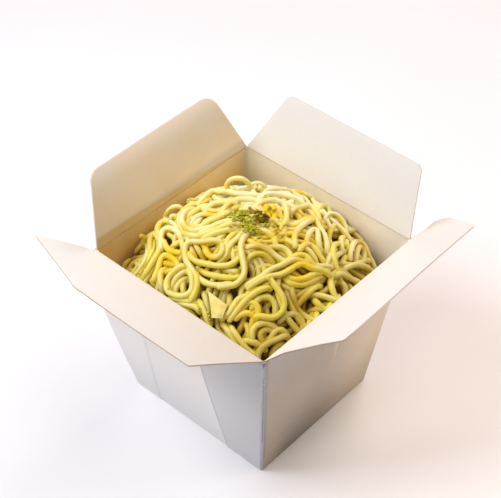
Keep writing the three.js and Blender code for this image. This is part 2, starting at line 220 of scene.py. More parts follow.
def add_piece(name, points, faces, materials, face_material=None, values=None, sharp=None):
    """Puts points in millimetres and triangles into a new object at the origin."""
    mesh = bpy.data.meshes.new(name)
    mesh.vertices.add(len(points))
    mesh.vertices.foreach_set("co", (np.asarray(points) * MM).astype(np.float32).ravel())
    mesh.loops.add(faces.size)
    mesh.loops.foreach_set("vertex_index", faces.astype(np.int32).ravel())
    mesh.polygons.add(len(faces))
    mesh.polygons.foreach_set("loop_start", np.arange(0, faces.size, 3, dtype=np.int32))
    mesh.polygons.foreach_set("use_smooth", np.ones(len(faces), bool))
    for material in materials:
        mesh.materials.append(material)
    if face_material is not None:
        mesh.polygons.foreach_set("material_index", face_material.astype(np.int32))
    mesh.update(calc_edges=True)
    for key, data in (values or {}).items():
        layer = mesh.attributes.new(key, "FLOAT", "POINT")
        layer.data.foreach_set("value", np.asarray(data, np.float32).ravel())
    if sharp is not None:
        mesh.set_sharp_from_angle(angle=math.radians(sharp))
    piece = bpy.data.objects.new(name, mesh)
    bpy.context.scene.collection.objects.link(piece)
    return piece


def join_meshes(parts):
    """Joins (points, faces, values) of many small meshes into one."""
    starts = np.cumsum([0] + [len(p[0]) for p in parts[:-1]])
    points = np.concatenate([p[0] for p in parts])
    faces = np.concatenate([p[1] + start for p, start in zip(parts, starts)])
    values = {key: np.concatenate([p[2][key] for p in parts]) for key in parts[0][2]}
    return points, faces, values


# ---- material helpers ------------------------------------------------------------------------


class NodeTree:
    """Short ways to add and link the nodes of one tree."""

    def __init__(self, tree):
        self.tree = tree

    def plug(self, node, inputs):
        """Sets each input of a node to a value, or links it where the value is a socket."""
        for key, value in inputs.items():
            if isinstance(value, bpy.types.NodeSocket):
                self.tree.links.new(value, node.inputs[key])
            else:
                node.inputs[key].default_value = value
        return node

    def node(self, kind, inputs=None, **fields):
        """A new node with its fields set and its inputs plugged."""
        made = self.tree.nodes.new(kind)
        for key, value in fields.items():
            setattr(made, key, value)
        return self.plug(made, inputs or {})

    def math(self, operation, a, b):
        """A number worked out from two numbers or sockets."""
        return self.node("ShaderNodeMath", {0: a, 1: b}, operation=operation).outputs[0]

    def times(self, a, b):
        return self.math("MULTIPLY", a, b)

    def plus(self, a, b):
        return self.math("ADD", a, b)

    def place(self):
        """Where the shaded point lies in the object's own frame, in metres."""
        return self.node("ShaderNodeTexCoord").outputs["Object"]

    def noise(self, place, scale, detail, rough, stretch=0.0):
        """Fractal noise from 0 to 1, with scale as its waves per metre."""
        return self.node("ShaderNodeTexNoise", {
            "Vector": place, "Scale": scale, "Detail": detail, "Roughness": rough,
            "Distortion": stretch,
        }).outputs["Fac"]

    def ramp(self, value, low, high, to_low=0.0, to_high=1.0):
        """Smooth step from to_low, where the value is low, to to_high, where it is high."""
        return self.node("ShaderNodeMapRange", {
            "Value": value, "From Min": low, "From Max": high, "To Min": to_low, "To Max": to_high,
        }, interpolation_type="SMOOTHSTEP").outputs["Result"]

    def mix(self, share, a, b, blend="MIX"):
        """Colour a with a share of colour b mixed in; inputs 0, 6 and 7 are the colour sockets."""
        return self.node(
            "ShaderNodeMix", {0: share, 6: a, 7: b}, data_type="RGBA", blend_type=blend
        ).outputs[2]

    def colour(self, red, green, blue):
        """A colour from its three channels."""
        return self.node("ShaderNodeCombineColor", {0: red, 1: green, 2: blue}).outputs[0]

    def bump(self, height, strength, distance):
        """The surface's normal, tilted as if it rose by height times the distance in metres."""
        return self.node("ShaderNodeBump", {
            "Height": height, "Strength": strength, "Distance": distance,
        }).outputs["Normal"]

    def value(self, name):
        """A value stored at the mesh's points."""
        return self.node("ShaderNodeAttribute", attribute_name=name).outputs["Fac"]


def four(colour, gains=(1.0, 1.0, 1.0)):
    """A colour with alpha: each channel times its gain, and 1 at most."""
    return (*[min(1.0, channel * gain) for channel, gain in zip(colour, gains)], 1.0)


def new_material(name):
    """A new surface material: the material, the helper for its nodes and its shader node."""
    material = bpy.data.materials.new(name)
    material.use_nodes = True
    return material, NodeTree(material.node_tree), material.node_tree.nodes["Principled BSDF"]


def new_group(name, inputs, outputs):
    """An empty node group with named sockets: the group, the helper, its inputs and output node."""
    group = bpy.data.node_groups.new(name, "ShaderNodeTree")
    for label, kind, default in inputs:
        socket = group.interface.new_socket(label, in_out="INPUT", socket_type=kind)
        if default is not None:
            socket.default_value = default
    for label, kind in outputs:
        group.interface.new_socket(label, in_out="OUTPUT", socket_type=kind)
    tree = NodeTree(group)
    return group, tree, tree.node("NodeGroupInput").outputs, tree.node("NodeGroupOutput")


def board_group():
    """Fibres and soft mottling of coated board: a shade, a small height and a roughness.

    The shade is 1 plus grain times the sum of three noises, each less its mean and times its share.
    """
    if "board_fibres" in bpy.data.node_groups:
        return bpy.data.node_groups["board_fibres"]
    group, tree, given, out = new_group(
        "board_fibres",
        [("Grain", "NodeSocketFloat", 1.0)],
        [("Shade", "NodeSocketFloat"), ("Height", "NodeSocketFloat"), ("Rough", "NodeSocketFloat")],
    )
    place = tree.place()
    broad = tree.noise(place, 38.0, 3.0, 0.55)
    speck = tree.noise(place, 1300.0, 2.0, 0.6)
    fibre = tree.noise(place, 420.0, 4.0, 0.7, 0.6)
    soft, fine, grain = (
        tree.times(tree.math("SUBTRACT", noise, 0.5), share)
        for noise, share in ((broad, 0.10), (speck, 0.13), (fibre, 0.07))
    )
    shade = tree.plus(tree.plus(soft, fine), grain)
    tree.plug(out, {
        "Shade": tree.plus(tree.times(shade, given["Grain"]), 1.0),
        "Height": tree.plus(tree.times(fibre, 0.7), tree.times(speck, 0.3)),
        "Rough": tree.ramp(fibre, 0.3, 0.7, 0.5, 0.66),
    })
    return group


def add_fibres(tree, grain):
    """The fibre group in a material's tree: its outputs, and its shade as a grey colour."""
    outputs = tree.node("ShaderNodeGroup", {"Grain": grain}, node_tree=board_group()).outputs
    return outputs, tree.colour(*[outputs["Shade"]] * 3)


def board_material(name, colour, grain):
    """Coated paperboard: fibres, mottling, worn folds, and a warm colour where noodles touch it,
    partly staining and partly painted warm light bounced off the noodles.

    The value "tone", for the most part painted light and shade, darkens or lightens, red most and
    blue least. Where the value "band" is above 0 the board takes the full warm colour; its 0 line
    is a crease line, painted darker as shade in the crease.
    """
    _, tree, shader = new_material(name)
    fibres, shade = add_fibres(tree, grain)
    place = tree.place()
    patchy = tree.ramp(tree.noise(place, 55.0, 3.0, 0.6), 0.25, 0.75, 0.75, 1.15)
    band = tree.ramp(tree.value("band"), -0.2, 0.2)
    # Warm colour: partly staining and partly painted warm light bounced off the noodles.
    stain = tree.math("MAXIMUM", tree.times(tree.value("stain"), patchy), tree.times(band, 0.82))
    base = tree.mix(stain, four(colour), four(colour, (1.0, 0.69, 0.22)))
    base = tree.mix(1.0, base, shade, "MULTIPLY")
    # Tone: for the most part painted light and shade.
    tone = tree.value("tone")
    toned = tree.colour(*[tree.plus(tree.times(tone, share), 1.0) for share in (1.0, 0.95, 0.82)])
    base = tree.mix(1.0, base, toned, "MULTIPLY")
    # Painted shade: a darker line in the crease along the band's edge.
    crease_shade = tree.ramp(tree.value("band"), -0.5, -0.1)
    crease_shade = tree.times(crease_shade, tree.math("SUBTRACT", 1.0, band))
    base = tree.mix(tree.times(crease_shade, 0.5), base, four(colour, (0.5, 0.5, 0.5)))
    fold = tree.value("fold")
    flecks = tree.times(tree.ramp(tree.noise(place, 520.0, 3.0, 0.7), 0.54, 0.62), fold)
    base = tree.mix(tree.times(fold, 0.35), base, four(colour, (0.55, 0.55, 0.55)))
    base = tree.mix(tree.times(flecks, 0.6), base, four(settings().colours.worn_fold))
    tree.plug(shader, {
        "Base Color": base,
        "Roughness": fibres["Rough"],
        "Normal": tree.bump(fibres["Height"], 0.25, 0.00012),
        "Specular IOR Level": 0.35,
    })


def cut_edge_material(name, colour, clean_colour):
    """Raw board edge, dark partly as painted shade, with layer fibres; pale where "clean" is 1."""
    _, tree, shader = new_material(name)
    fibres, shade = add_fibres(tree, 1.6)
    base = tree.mix(tree.value("clean"), four(colour), four(clean_colour))
    tree.plug(shader, {
        "Base Color": tree.mix(1.0, base, shade, "MULTIPLY"), "Roughness": fibres["Rough"],
    })


def board_materials():
    """The three finishes of the board, made once: outside, inside and cut edge."""
    if "board_outside" not in bpy.data.materials:
        colours = settings().colours
        board_material("board_outside", colours.outside, 0.55)
        board_material("board_inside", colours.inside, 0.5)
        cut_edge_material("board_cut_edge", colours.cut_edge, colours.clean_edge)
    return [bpy.data.materials[n] for n in ("board_outside", "board_inside", "board_cut_edge")]


# ---- box body --------------------------------------------------------------------------------


def half_widths(z):
    """Half the box's outer width and depth at height z, on its straight taper from base to rim."""
    up = z / BOX_HEIGHT
    return (BASE_X + (RIM_X - BASE_X) * up) / 2, (BASE_Y + (RIM_Y - BASE_Y) * up) / 2


def wall_points(rim_x, rim_y, z, inset_x, inset_y):
    """Points of the tapered walls.

    A point (rim_x, rim_y) of the rim's outline is drawn in by the insets, scaled by the walls'
    taper at height z, bowed out by the crown and pushed to the front left by the belly.
    """
    up = np.clip(z / BOX_HEIGHT, 0.0, 1.0)
    across_x = rim_x / (RIM_X / 2) * (1 - inset_x / (RIM_X / 2))
    across_y = rim_y / (RIM_Y / 2) * (1 - inset_y / (RIM_Y / 2))
    crown = WALL_CROWN * 4 * up * (1 - up)
    belly = LEFT_BELLY * up * (1 - up**3) * (1 - across_x) * (1 - across_y) / 4
    half_x, half_y = half_widths(z)
    return np.stack(np.broadcast_arrays(
        rim_x / (RIM_X / 2) * (half_x - inset_x) + crown * across_x * (1 - across_y**2) - belly,
        rim_y / (RIM_Y / 2) * (half_y - inset_y) + crown * across_y * (1 - across_x**2) - belly,
        z,
    ), -1)


def lap_edge(edge, z, front):
    """Rim coordinate of a glued panel's edge, which runs straight from the base to the rim."""
    up = np.clip(z / BOX_HEIGHT, 0.0, 1.0)
    scale = half_widths(z)[0] / (RIM_X / 2)
    x = edge["base"] + (edge["rim"] - edge["base"]) * z / BOX_HEIGHT
    if not front:
        return x / scale
    push = LEFT_BELLY * up * (1 - up**3) / 2
    return (x + push) / (scale + push / (RIM_X / 2))


# Lines along a glued panel's edges: distance in from the edge, share of the panel's thickness and
# tone, for the left edge, a faint line of painted shade high on the wall, and for the right edge, a
# painted line of shadow.
LEFT_LAP_LINES = ((0.25, 0.3, -0.10), (0.75, 0.8, -0.10), (1.1, 1.0, 0.0))
RIGHT_LAP_LINES = (
    (1.25, 1.0, -0.05), (0.95, 1.0, -0.50), (0.55, 1.0, -0.60), (0.12, 0.9, -0.75),
)

# Front corner's columns, all painted darker as shade: how much more painted shade the groove and
# the shadow under the rim give each.
CORNER_LINES = (
    (0.0, 0.05), (0.0, 0.2), (0.05, 0.4), (0.25, 0.45), (0.28, 0.4), (0.06, 0.2), (0.0, 0.05),
)

# Painted light and shade on the right wall, a lighter stripe ending in a dark line: place along the
# wall and tone.
PAINTED_STRIPE_LINES = {1.4: 0.0, 2.0: 0.14, 3.4: 0.24, 4.9: 0.26, 5.2: -0.30, 5.45: -0.42, 5.7: 0.0}


def rim_outline(z):
    """Columns round the rim for each height: rim x, rim y, share of lap inset, fold and tone.

    Fold is 1 on an upright fold and dies away beside it. Tone is below 0 where the board is painted
    darker: painted shade on the front wall's glued panel and round the front corner, painted shadow
    along the glued panels' edges and under the rim at the front corner, and painted shade on the
    right wall, which also has a darker strip by its front corner. Tone is above 0 in a painted
    lighter stripe on the right wall.
    """
    up = np.clip(z / BOX_HEIGHT, 0.0, 1.0)
    half_x, half_y = RIM_X / 2, RIM_Y / 2
    straight_x, straight_y = half_x - CORNER_RADIUS, half_y - CORNER_RADIUS
    columns = []

    def add(x, y, lap=0.0, fold=0.0, tone=0.0):
        columns.append([np.broadcast_to(v, z.shape) for v in (x, y, lap, fold, tone)])

    def near_fold(distance):
        return math.exp(-distance / 1.3)

    def add_panelled(side_y, front):
        left = lap_edge(LEFT_LAP_EDGE, z, front)
        right = lap_edge(RIGHT_LAP_EDGE, z, front)
        # Painted shade on the front wall's glued panel by the front corner, deeper high up.
        grey = -(0.13 + 0.20 * up) if front else 0.0
        for t in np.linspace(0, 1, 14):
            x = -straight_x + (left + straight_x) * t
            add(x, side_y, 0.0, near_fold(half_x - abs(np.mean(x))))
        # A faint line of painted shade along the left edge, fading out lower down.
        upper_fade = smooth_step(40.0, 75.0, z)
        for inward, lap, tone in LEFT_LAP_LINES:
            add(left + inward, side_y, lap, 0.0, tone * upper_fade)
        for t in np.linspace(0, 1, 18):
            add(left + 1.3 + (right - 2.9 - left) * t, side_y, 1.0)
        # A painted line of shadow along the right edge, fainter on the back wall.
        dark = 1.0 if front else 0.6
        for inward, lap, tone in RIGHT_LAP_LINES:
            add(right - inward, side_y, lap, 0.0, tone * dark)
        add(right, side_y, 0.0, 0.0, -0.35)
        for t in np.linspace(0, 1, 20):
            x = right + 0.35 + (straight_x - 0.35 - right) * t
            # Painted shade deepening towards the front corner's fold.
            dull = 0.14 * t * (0.7 + 0.6 * up) * front
            add(x, side_y, 0.0, near_fold(half_x - abs(np.mean(x))), grey - dull)

    def add_corner(centre_x, centre_y, start, tones=(0.0,) * len(CORNER_LINES)):
        for t, tone in zip(np.linspace(0, 1, len(tones) + 2)[1:-1], tones):
            angle = start + t * math.pi / 2
            x = centre_x + CORNER_RADIUS * math.cos(angle)
            add(x, centre_y + CORNER_RADIUS * math.sin(angle), 0.0, 1.0, tone)

    add_panelled(-half_y, True)
    # Painted shade round the front corner, more in the groove of its fold and under the rim.
    groove = smooth_step(24.0, 28.0, z) * smooth_step(84.0, 74.0, z)
    shadow = smooth_step(85.0, 88.5, z)
    add_corner(straight_x, -straight_y, -math.pi / 2, [
        np.maximum(-0.40 - share * groove - dark * shadow, -0.9) for share, dark in CORNER_LINES
    ])
    # The painted stripe of light and shade fades out lower down.
    fade = smooth_step(40.0, 62.0, z)
    for y in np.unique([*np.linspace(-straight_y, straight_y, 46), *PAINTED_STRIPE_LINES]):
        strip = -0.2 * smooth_step(3.0, 2.2, half_y + y) * smooth_step(6.0, 12.0, z)
        # Painted shade on the right wall: deeper towards the front, and towards the base behind the
        # front corner.
        right_wall_shade = -0.36 * smooth_step(40.0, -12.0, y)
        right_wall_shade = right_wall_shade - 0.16 * smooth_step(45.0, 0.0, z) * smooth_step(-48.0, -25.0, y)
        tone = PAINTED_STRIPE_LINES.get(y, 0.0) * fade + strip + right_wall_shade
        add(half_x, y, 0.0, near_fold(half_y - abs(y)), tone)
    add_corner(straight_x, straight_y, 0.0)
    back_start = len(columns)
    add_panelled(half_y, False)
    columns[back_start:] = columns[back_start:][::-1]
    add_corner(-straight_x, straight_y, math.pi / 2)
    for y in np.linspace(straight_y, -straight_y, 46):
        add(-half_x, y, 0.0, near_fold(half_y - abs(y)))
    add_corner(-straight_x, -straight_y, math.pi)
    return [np.stack([c[k] for c in columns], 1) for k in range(5)]


def body_values(rim_x, rim_y, height, fold, tone, outside, inside):
    """Staining and warm light, fold and tone of the box's rows; outside and inside are 1 on the
    rows of that side.

    Inside, the warm colour is partly staining and partly painted warm light bounced off the
    noodles; it is strongest on the left wall and fainter to the right, and the left wall also has a
    painted lift of light. The back wall grows lighter to the right, then darker at its right end as
    a painted shadow. Outside, the right wall's warm colour, strongest towards the base, is a
    painted warm reflection; the tone falls towards the base as painted shade, and the rim is darker
    at the top of the front corner.
    """
    left_wall = smooth_step(-30.0, -49.0, rim_x) * smooth_step(50.0, 44.0, rim_y)
    right_wall = np.abs(rim_x - RIM_X / 2) < 0.01
    up = np.clip(height / BOX_HEIGHT, 0.0, 1.0)
    toward_front = np.clip((40.0 - rim_y) / 90.0, 0.0, 1.0)
    # Inside: partly staining and partly painted warm light bounced off the noodles, strongest on
    # the left wall and fainter to the right.
    fainter_to_right = 0.15 * smooth_step(5.0, 45.0, rim_x)
    stain = 0.36 + (0.49 + 0.02 * toward_front) * left_wall - fainter_to_right
    stain = inside * stain * (0.8 + 0.2 * smooth_step(90.5, 78.0, height))
    # Outside: painted warm reflection on the right wall, strongest towards the base.
    stain += outside * np.where(right_wall, 0.55 - 0.28 * up, 0.08 * up)
    worn = 0.25 + 0.75 * smooth_step(44.0, 60.0, height) * smooth_step(88.0, 80.0, height)
    # Back wall inside: lighter to the right, then a painted shadow at its right end.
    back_wall = inside * smooth_step(30.0, 49.0, rim_y)
    back_tone = 0.05 + 0.0036 * rim_x - 0.28 * smooth_step(26.0, 47.0, rim_x)
    front_corner = smooth_step(2.6, 1.2, np.hypot(rim_x - RIM_X / 2, rim_y + RIM_Y / 2))
    # Outside: painted shade towards the base. Inside the left wall: a painted lift of light.
    tone = outside * (tone - 0.13 * smooth_step(48.0, 0.0, height)) + back_wall * back_tone
    tone += 0.10 * inside * left_wall - 0.4 * front_corner * smooth_step(89.0, 89.6, height)
    return stain, outside * fold * worn, tone


def body_mesh():
    """One closed skin: under the base, up the outside, over the rim, down the inside to the floor.

    Each row has a height and a depth into the board. Along the creases the rim is hollowed
    to an arc, in which a flap's rounded end turns, and slopes away from the arc on the inside.
    """
    board = settings().box.board / MM
    hollow = board + settings().box.crease_gap / MM
    outer_z = np.concatenate([[0.0, 0.0, 0.12, 0.4], np.linspace(1.2, 88.4, 44), [88.9, 89.3]])
    outer_depth = np.concatenate([[6.0, 0.5, 0.12, 0.0], np.zeros(len(outer_z) - 4)])
    arc = np.radians(np.linspace(270.0, 222.0, 7))
    inner_z = [*np.linspace(90.2, 62.0, 20), *np.linspace(56.0, board + 0.5, 8), board]
    first, rim_rows = len(outer_z), len(arc) + 2
    z = np.concatenate([outer_z, np.full(rim_rows, BOX_HEIGHT), inner_z])
    rim_x, rim_y, lap, fold, tone = rim_outline(z)
    rows, columns = rim_x.shape

    reach_x, reach_y = (
        smooth_step(0.0, 0.35, rim / 2 - CREASE_END - np.abs(along) + 0.2)
        for rim, along in ((RIM_X, rim_x), (RIM_Y, rim_y))
    )
    along_y = np.abs(rim_x) > RIM_X / 2 - 0.01
    notch = np.where(along_y, reach_y, reach_x)

    depth = np.full((rows, columns), board)
    height = np.repeat(z[:, None], columns, 1)
    depth[:first] = outer_depth[:, None]
    share = np.linspace(0, 1, rim_rows)[:, None]
    angles = np.concatenate([[arc[0]], arc, [arc[-1]]])[:, None]
    hollow_depth = np.clip(-hollow * np.cos(angles), 0.0, board)
    hollow_down = -hollow * np.sin(angles)
    hollow_depth[-1], hollow_down[-1] = board, 0.75 * hollow
    flat = board * share
    cut = notch[first:first + rim_rows]
    depth[first:first + rim_rows] = flat + (hollow_depth - flat) * cut
    height[first:first + rim_rows] = BOX_HEIGHT - hollow_down * cut
    height[first] = np.where(cut[0] > 0.5, BOX_HEIGHT - hollow - 0.01, BOX_HEIGHT)

    outside = (np.arange(rows) < first)[:, None]
    inside = np.arange(rows)[:, None] >= first + 2
    sunk = np.where(outside, lap * (1 - smooth_step(88.5, 89.2, height)) * LAP, 0.0)
    doubled = LAP * (1 - smooth_step(84.0, 90.0, height)) * ~outside * ~along_y
    points = wall_points(rim_x, rim_y, height, depth, depth + sunk + doubled).reshape(-1, 3)
    index = np.arange(rows * columns).reshape(rows, columns)
    faces = [
        grid_faces(index, around=True),
        fan_faces(index[0][::-1], len(points)), fan_faces(index[-1], len(points) + 1),
    ]
    points = np.concatenate([points, [[0, 0, 0], [0, 0, board]]])

    row_of = np.tile(np.repeat(np.arange(rows - 1), columns), 2)
    face_material = np.concatenate([
        np.where(row_of >= first - 1, 1, 0), np.zeros(columns, int), np.ones(columns, int),
    ])
    stain, fold, tone = body_values(rim_x, rim_y, height, fold, tone, outside, inside)
    values = {
        "stain": np.append(stain, [0.0, 1.0]),
        "fold": np.append(fold, [0.0, 0.0]),
        "tone": np.append(tone, [0.0, 0.0]),
        "band": np.full(len(points), NO_BAND),
    }
    return points, np.concatenate(faces), face_material, values


# ---- flaps -----------------------------------------------------------------------------------


def bend(start, control, end, count=12):
    """Points of a quadratic curve: (1-t)^2 start + 2t(1-t) control + t^2 end."""
    t = np.linspace(0, 1, count)[:, None]
    start, control, end = map(np.asarray, (start, control, end))
    return (1 - t) ** 2 * start + 2 * t * (1 - t) * control + t**2 * end


def rounded_end(crease_x, outer_x, width, radius, sign):
    """Side edge of a plain flap, from the crease to its rounded outer corner, as (x, y) points."""
    slope = np.array([outer_x - crease_x, width])
    along = slope / np.linalg.norm(slope) * radius
    corner = np.array([outer_x, width])
    return np.concatenate([
        [[crease_x, 0.0]], bend(corner - along, corner, corner + [sign * radius, 0]),
    ])


def flap_outlines():
    """Each flap's size in its own frame: X along the crease, Y outward, Z from its outer face."""
    half_x, half_y = RIM_X / 2, RIM_Y / 2
    front_tip = np.concatenate([
        [[RIM_X - 0.2, 0.0]],
        bend((RIM_X + 25.2, 10.5), (RIM_X + 26.7, 11.1), (RIM_X + 25.0, 12.0)),
        bend((RIM_X - 6.5, 21.0), (RIM_X - 9.5, 22.45), (RIM_X - 12.5, 22.45)),
    ])
    right_ear = np.concatenate([
        [[-11.0, 0.0]], bend((-11.01, 0.02), (-18.0, 0.05), (-21.0, 6.0)),
        bend((-21.0, 16.0), (-21.0, 20.9), (-19.6, 21.3)),
    ])
    return {
        "front": {
            "left": [[CREASE_END, 0.0], [21.0, 22.1], [22.0, 22.45]], "right": front_tip,
            "width": (22.45, 22.45), "crease": (CREASE_END, RIM_X - 0.6), "rest": 2.0,
            "origin": (half_x, -half_y), "turn": 180.0,
        },
        "right": {
            "left": right_ear,
            "right": [[RIM_Y - CREASE_END, 0.0], [92.6, 3.6], [75.2, 20.95], [74.2, 21.3]],
            "width": (20.2, 21.3), "crease": (0.6, RIM_Y - CREASE_END), "rest": 20.0,
            "origin": (half_x, half_y), "turn": -90.0,
        },
        "back": {
            "left": rounded_end(CREASE_END, 13.0, 32.0, 3.2, 1),
            "right": rounded_end(RIM_X - CREASE_END - 0.15, RIM_X - 9.65, 32.0, 3.2, -1),
            "width": (32.0, 32.0), "crease": (CREASE_END, RIM_X - CREASE_END), "rest": 60.0,
            "origin": (-half_x, half_y), "turn": 0.0,
        },
        "left": {
            "left": rounded_end(CREASE_END, 10.5, 33.4, 6.0, 1),
            "right": rounded_end(RIM_Y - CREASE_END, RIM_Y - 13.5, 33.4, 6.0, -1),
            "width": (33.4, 33.4), "crease": (CREASE_END, RIM_Y - CREASE_END), "rest": 70.0,
            "origin": (-half_x, -half_y), "turn": 90.0,
        },
    }


def flap_warp(name, x, y, width, length):
    """How far a flap's board bends out of its plane: a slow wave and a curled or dropped edge."""
    wave = 0.22 * np.sin(2.2 * math.pi * x / length + 0.8) * (y / width) * smooth_step(0.0, 6.0, y)
    if name == "left":
        return wave - 1.5 * np.clip((y - 25.0) / 8.4, 0.0, None) ** 2
    if name == "back":
        return wave - 0.5 * np.clip((y - 22.0) / 10.0, 0.0, None) ** 2
    if name == "right":
        return wave - 0.35 * smooth_step(14.0, 21.5, y)
    return wave - 0.4 * smooth_step(14.0, 22.5, y)


def flap_values(name, points, middle):
    """Staining and warm light, fold, tone, band and clean share of a flap; middle is its
    mid-plane's height there.

    The warm colour dies away from the crease. On the left flap it is stronger, most near the
    crease, partly staining and partly painted warm light bounced off the noodles; its tone holds a
    painted lift of light and is darker by the crease and towards the start of the crease. The left
    flap's inner face has a band by its crease that narrows along the rim, and the front flap is
    darker and warmer towards the front right corner.
    """
    x, y, z = points.T
    stain = 0.13 * np.exp(-np.clip(y, 0, None) / 9.0)
    tone, band = np.full(len(points), -0.05), np.full(len(points), NO_BAND)
    clean = np.full(len(points), {"front": 0.0, "right": 0.0, "back": 0.6, "left": 0.6}[name])
    if name == "right":
        clean = 0.85 * smooth_step(80.0, 62.0, x)
    if name == "left":
        # Left flap: partly staining and partly painted warm light bounced off the noodles, most
        # near the crease; the tone adds a painted lift of light.
        stain = 0.26 + 0.16 * smooth_step(30.0, 0.0, y)
        tone = 0.07 - 0.20 * smooth_step(5.5, 3.0, y) - 0.12 * smooth_step(40.0, 0.0, x)
        band = np.where(z > middle, 4.7 * (1.0 - x / RIM_Y) - y, NO_BAND)
    if name == "front":
        near_corner = np.clip((105.0 - x) / 95.0, 0.0, 1.0)
        stain += 0.15 * near_corner
        tone -= 0.17 * near_corner
    return {
        "stain": stain, "fold": np.zeros(len(points)), "tone": tone, "band": band, "clean": clean,
    }


def flap_mesh(name, shape):
    """A flap as rows from its rounded crease end outward, each running from side to side.

    The crease end is a full round about the hinge line, with the board's thickness as its radius.
    """
    board = settings().box.board / MM
    left, right = np.asarray(shape["left"], float), np.asarray(shape["right"], float)
    low_width, high_width = shape["width"]
    width = max(shape["width"])
    length = shape["crease"][1] + CREASE_END
    turn = np.linspace(0, 1, 9)
    over, beneath = np.radians(180.0 - 90.0 * turn), np.radians(180.0 + 180.0 * turn)
    share = np.unique(np.concatenate([
        0.5 - 0.5 * np.cos(np.linspace(0, math.pi, 26)), left[:, 1] / width, right[:, 1] / width,
    ]))[1:]
    share = share[np.append(True, np.diff(share) > 0.002)]
    share[-1] = 1.0
    columns = 64
    t = np.linspace(0, 1, columns)

    def sheet(y, z):
        start = np.interp(y, left[:, 1], left[:, 0])
        end = np.interp(y, right[:, 1], right[:, 0])
        on_round = y <= board * 0.999
        start = np.where(on_round, np.maximum(start, shape["crease"][0]), start)
        end = np.where(on_round, np.minimum(end, shape["crease"][1]), end)
        x = start[:, None] + (end - start)[:, None] * t
        y = np.repeat(y[:, None], columns, 1)
        across = np.clip((x + 21.0) / 95.0, 0, 1)
        trim = (low_width + (high_width - low_width) * across) / width
        y = np.where(y > 0, y * trim, y)
        warp = flap_warp(name, x, np.clip(y, 0, None), width, length)
        return np.stack([x, y, np.repeat(z[:, None], columns, 1) + warp], -1)

    top = sheet(
        np.concatenate([board * np.cos(over), share * width]),
        np.concatenate([board * np.sin(over), np.full(len(share), board)]),
    )
    low = sheet(
        np.concatenate([board * np.cos(beneath), board + share * (width - board)]),
        np.concatenate([board * np.sin(beneath), np.zeros(len(share))]),
    )
    top_index = np.arange(len(top) * columns).reshape(-1, columns)
    low_index = top_index + top_index.size
    low_index[0] = top_index[0]
    points = np.concatenate([top.reshape(-1, 3), low.reshape(-1, 3)])
    faces = [
        grid_faces(top_index),
        grid_faces(low_index)[:, ::-1],
        grid_faces(np.stack([top_index[:, 0], low_index[:, 0]], 1))[:, ::-1],
        grid_faces(np.stack([top_index[:, -1], low_index[:, -1]], 1)),
        grid_faces(np.stack([top_index[-1], low_index[-1]], 1))[:, ::-1],
    ]
    slots = [1, 0, 2, 2, 2]
    face_material = np.concatenate([np.full(len(f), slot) for f, slot in zip(faces, slots)])
    faces = np.concatenate(faces)
    real = (faces != np.roll(faces, -1, axis=1)).all(1)
    faces, face_material = facing_out(points, faces[real]), face_material[real]

    middle = flap_warp(name, points[:, 0], points[:, 1], width, length) + board / 2
    values = flap_values(name, points, middle)
    place = (
        Matrix.Translation((*shape["origin"], BOX_HEIGHT))
        @ Matrix.Rotation(math.radians(shape["turn"]), 4, "Z")
        @ Matrix.Rotation(math.radians(shape["rest"]), 4, "X")
    )
    turned = points @ np.array(place.to_3x3()).T + np.array(place.translation)
    used, renumbered = np.unique(faces, return_inverse=True)
    values = {key: value[used] for key, value in values.items()}
    return turned[used], renumbered.reshape(faces.shape), face_material, values


# ---- heap of noodles ---------------------------------------------------------------------------


def heap_height(x, y):
    """Outer surface of the heap: a dome, softened into level corners."""
    out = (x - HEAP_CENTRE[0]) ** 2 + (y - HEAP_CENTRE[1]) ** 2
    dome = HEAP_TOP - HEAP_RADIUS + np.sqrt(np.clip(HEAP_RADIUS**2 - out, 0.0, None))
    return (dome + HEAP_CORNER + np.hypot(dome - HEAP_CORNER, HEAP_BLEND)) / 2


class HeapSurface:
    """Height of everything laid so far, on a square grid, for laying the next noodle on it."""

    cell = 0.5
    reach = 52.0
    margin = 6

    def __init__(self, depth):
        axis = np.arange(-self.reach, self.reach + self.cell, self.cell)
        self.x, self.y = np.meshgrid(axis, axis, indexing="ij")
        self.height = heap_height(self.x, self.y) - depth
        self.size = len(axis)

    def numbers(self, path):
        """Grid cells below the path's points, kept a margin of cells in from the grid's edge."""
        spots = np.rint((path[:, :2] + self.reach) / self.cell).astype(int)
        return np.clip(spots, self.margin, self.size - 1 - self.margin)

    def disc(self, radius):
        """Cells under a ball, and the ball's rise above its centre there: root of r^2 - d^2."""
        steps = np.arange(-int(radius / self.cell), int(radius / self.cell) + 1)
        dx, dy = np.meshgrid(steps, steps, indexing="ij")
        rise = radius**2 - (dx**2 + dy**2) * self.cell**2
        kept = rise >= 0
        return dx[kept], dy[kept], np.sqrt(rise[kept])

    def resting(self, path, radius):
        """Height of a ball's centre where it first touches what lies below each path point."""
        i, j = self.numbers(path).T
        dx, dy, rise = self.disc(radius)
        return (self.height[i[:, None] + dx, j[:, None] + dy] + rise).max(1)

    def lay(self, path, radius):
        """Raises the grid to the top of the balls of this radius about the path's points."""
        i, j = self.numbers(path).T
        dx, dy, rise = self.disc(radius)
        where = (i[:, None] + dx, j[:, None] + dy)
        np.maximum.at(self.height, where, path[:, 2:3] + rise)


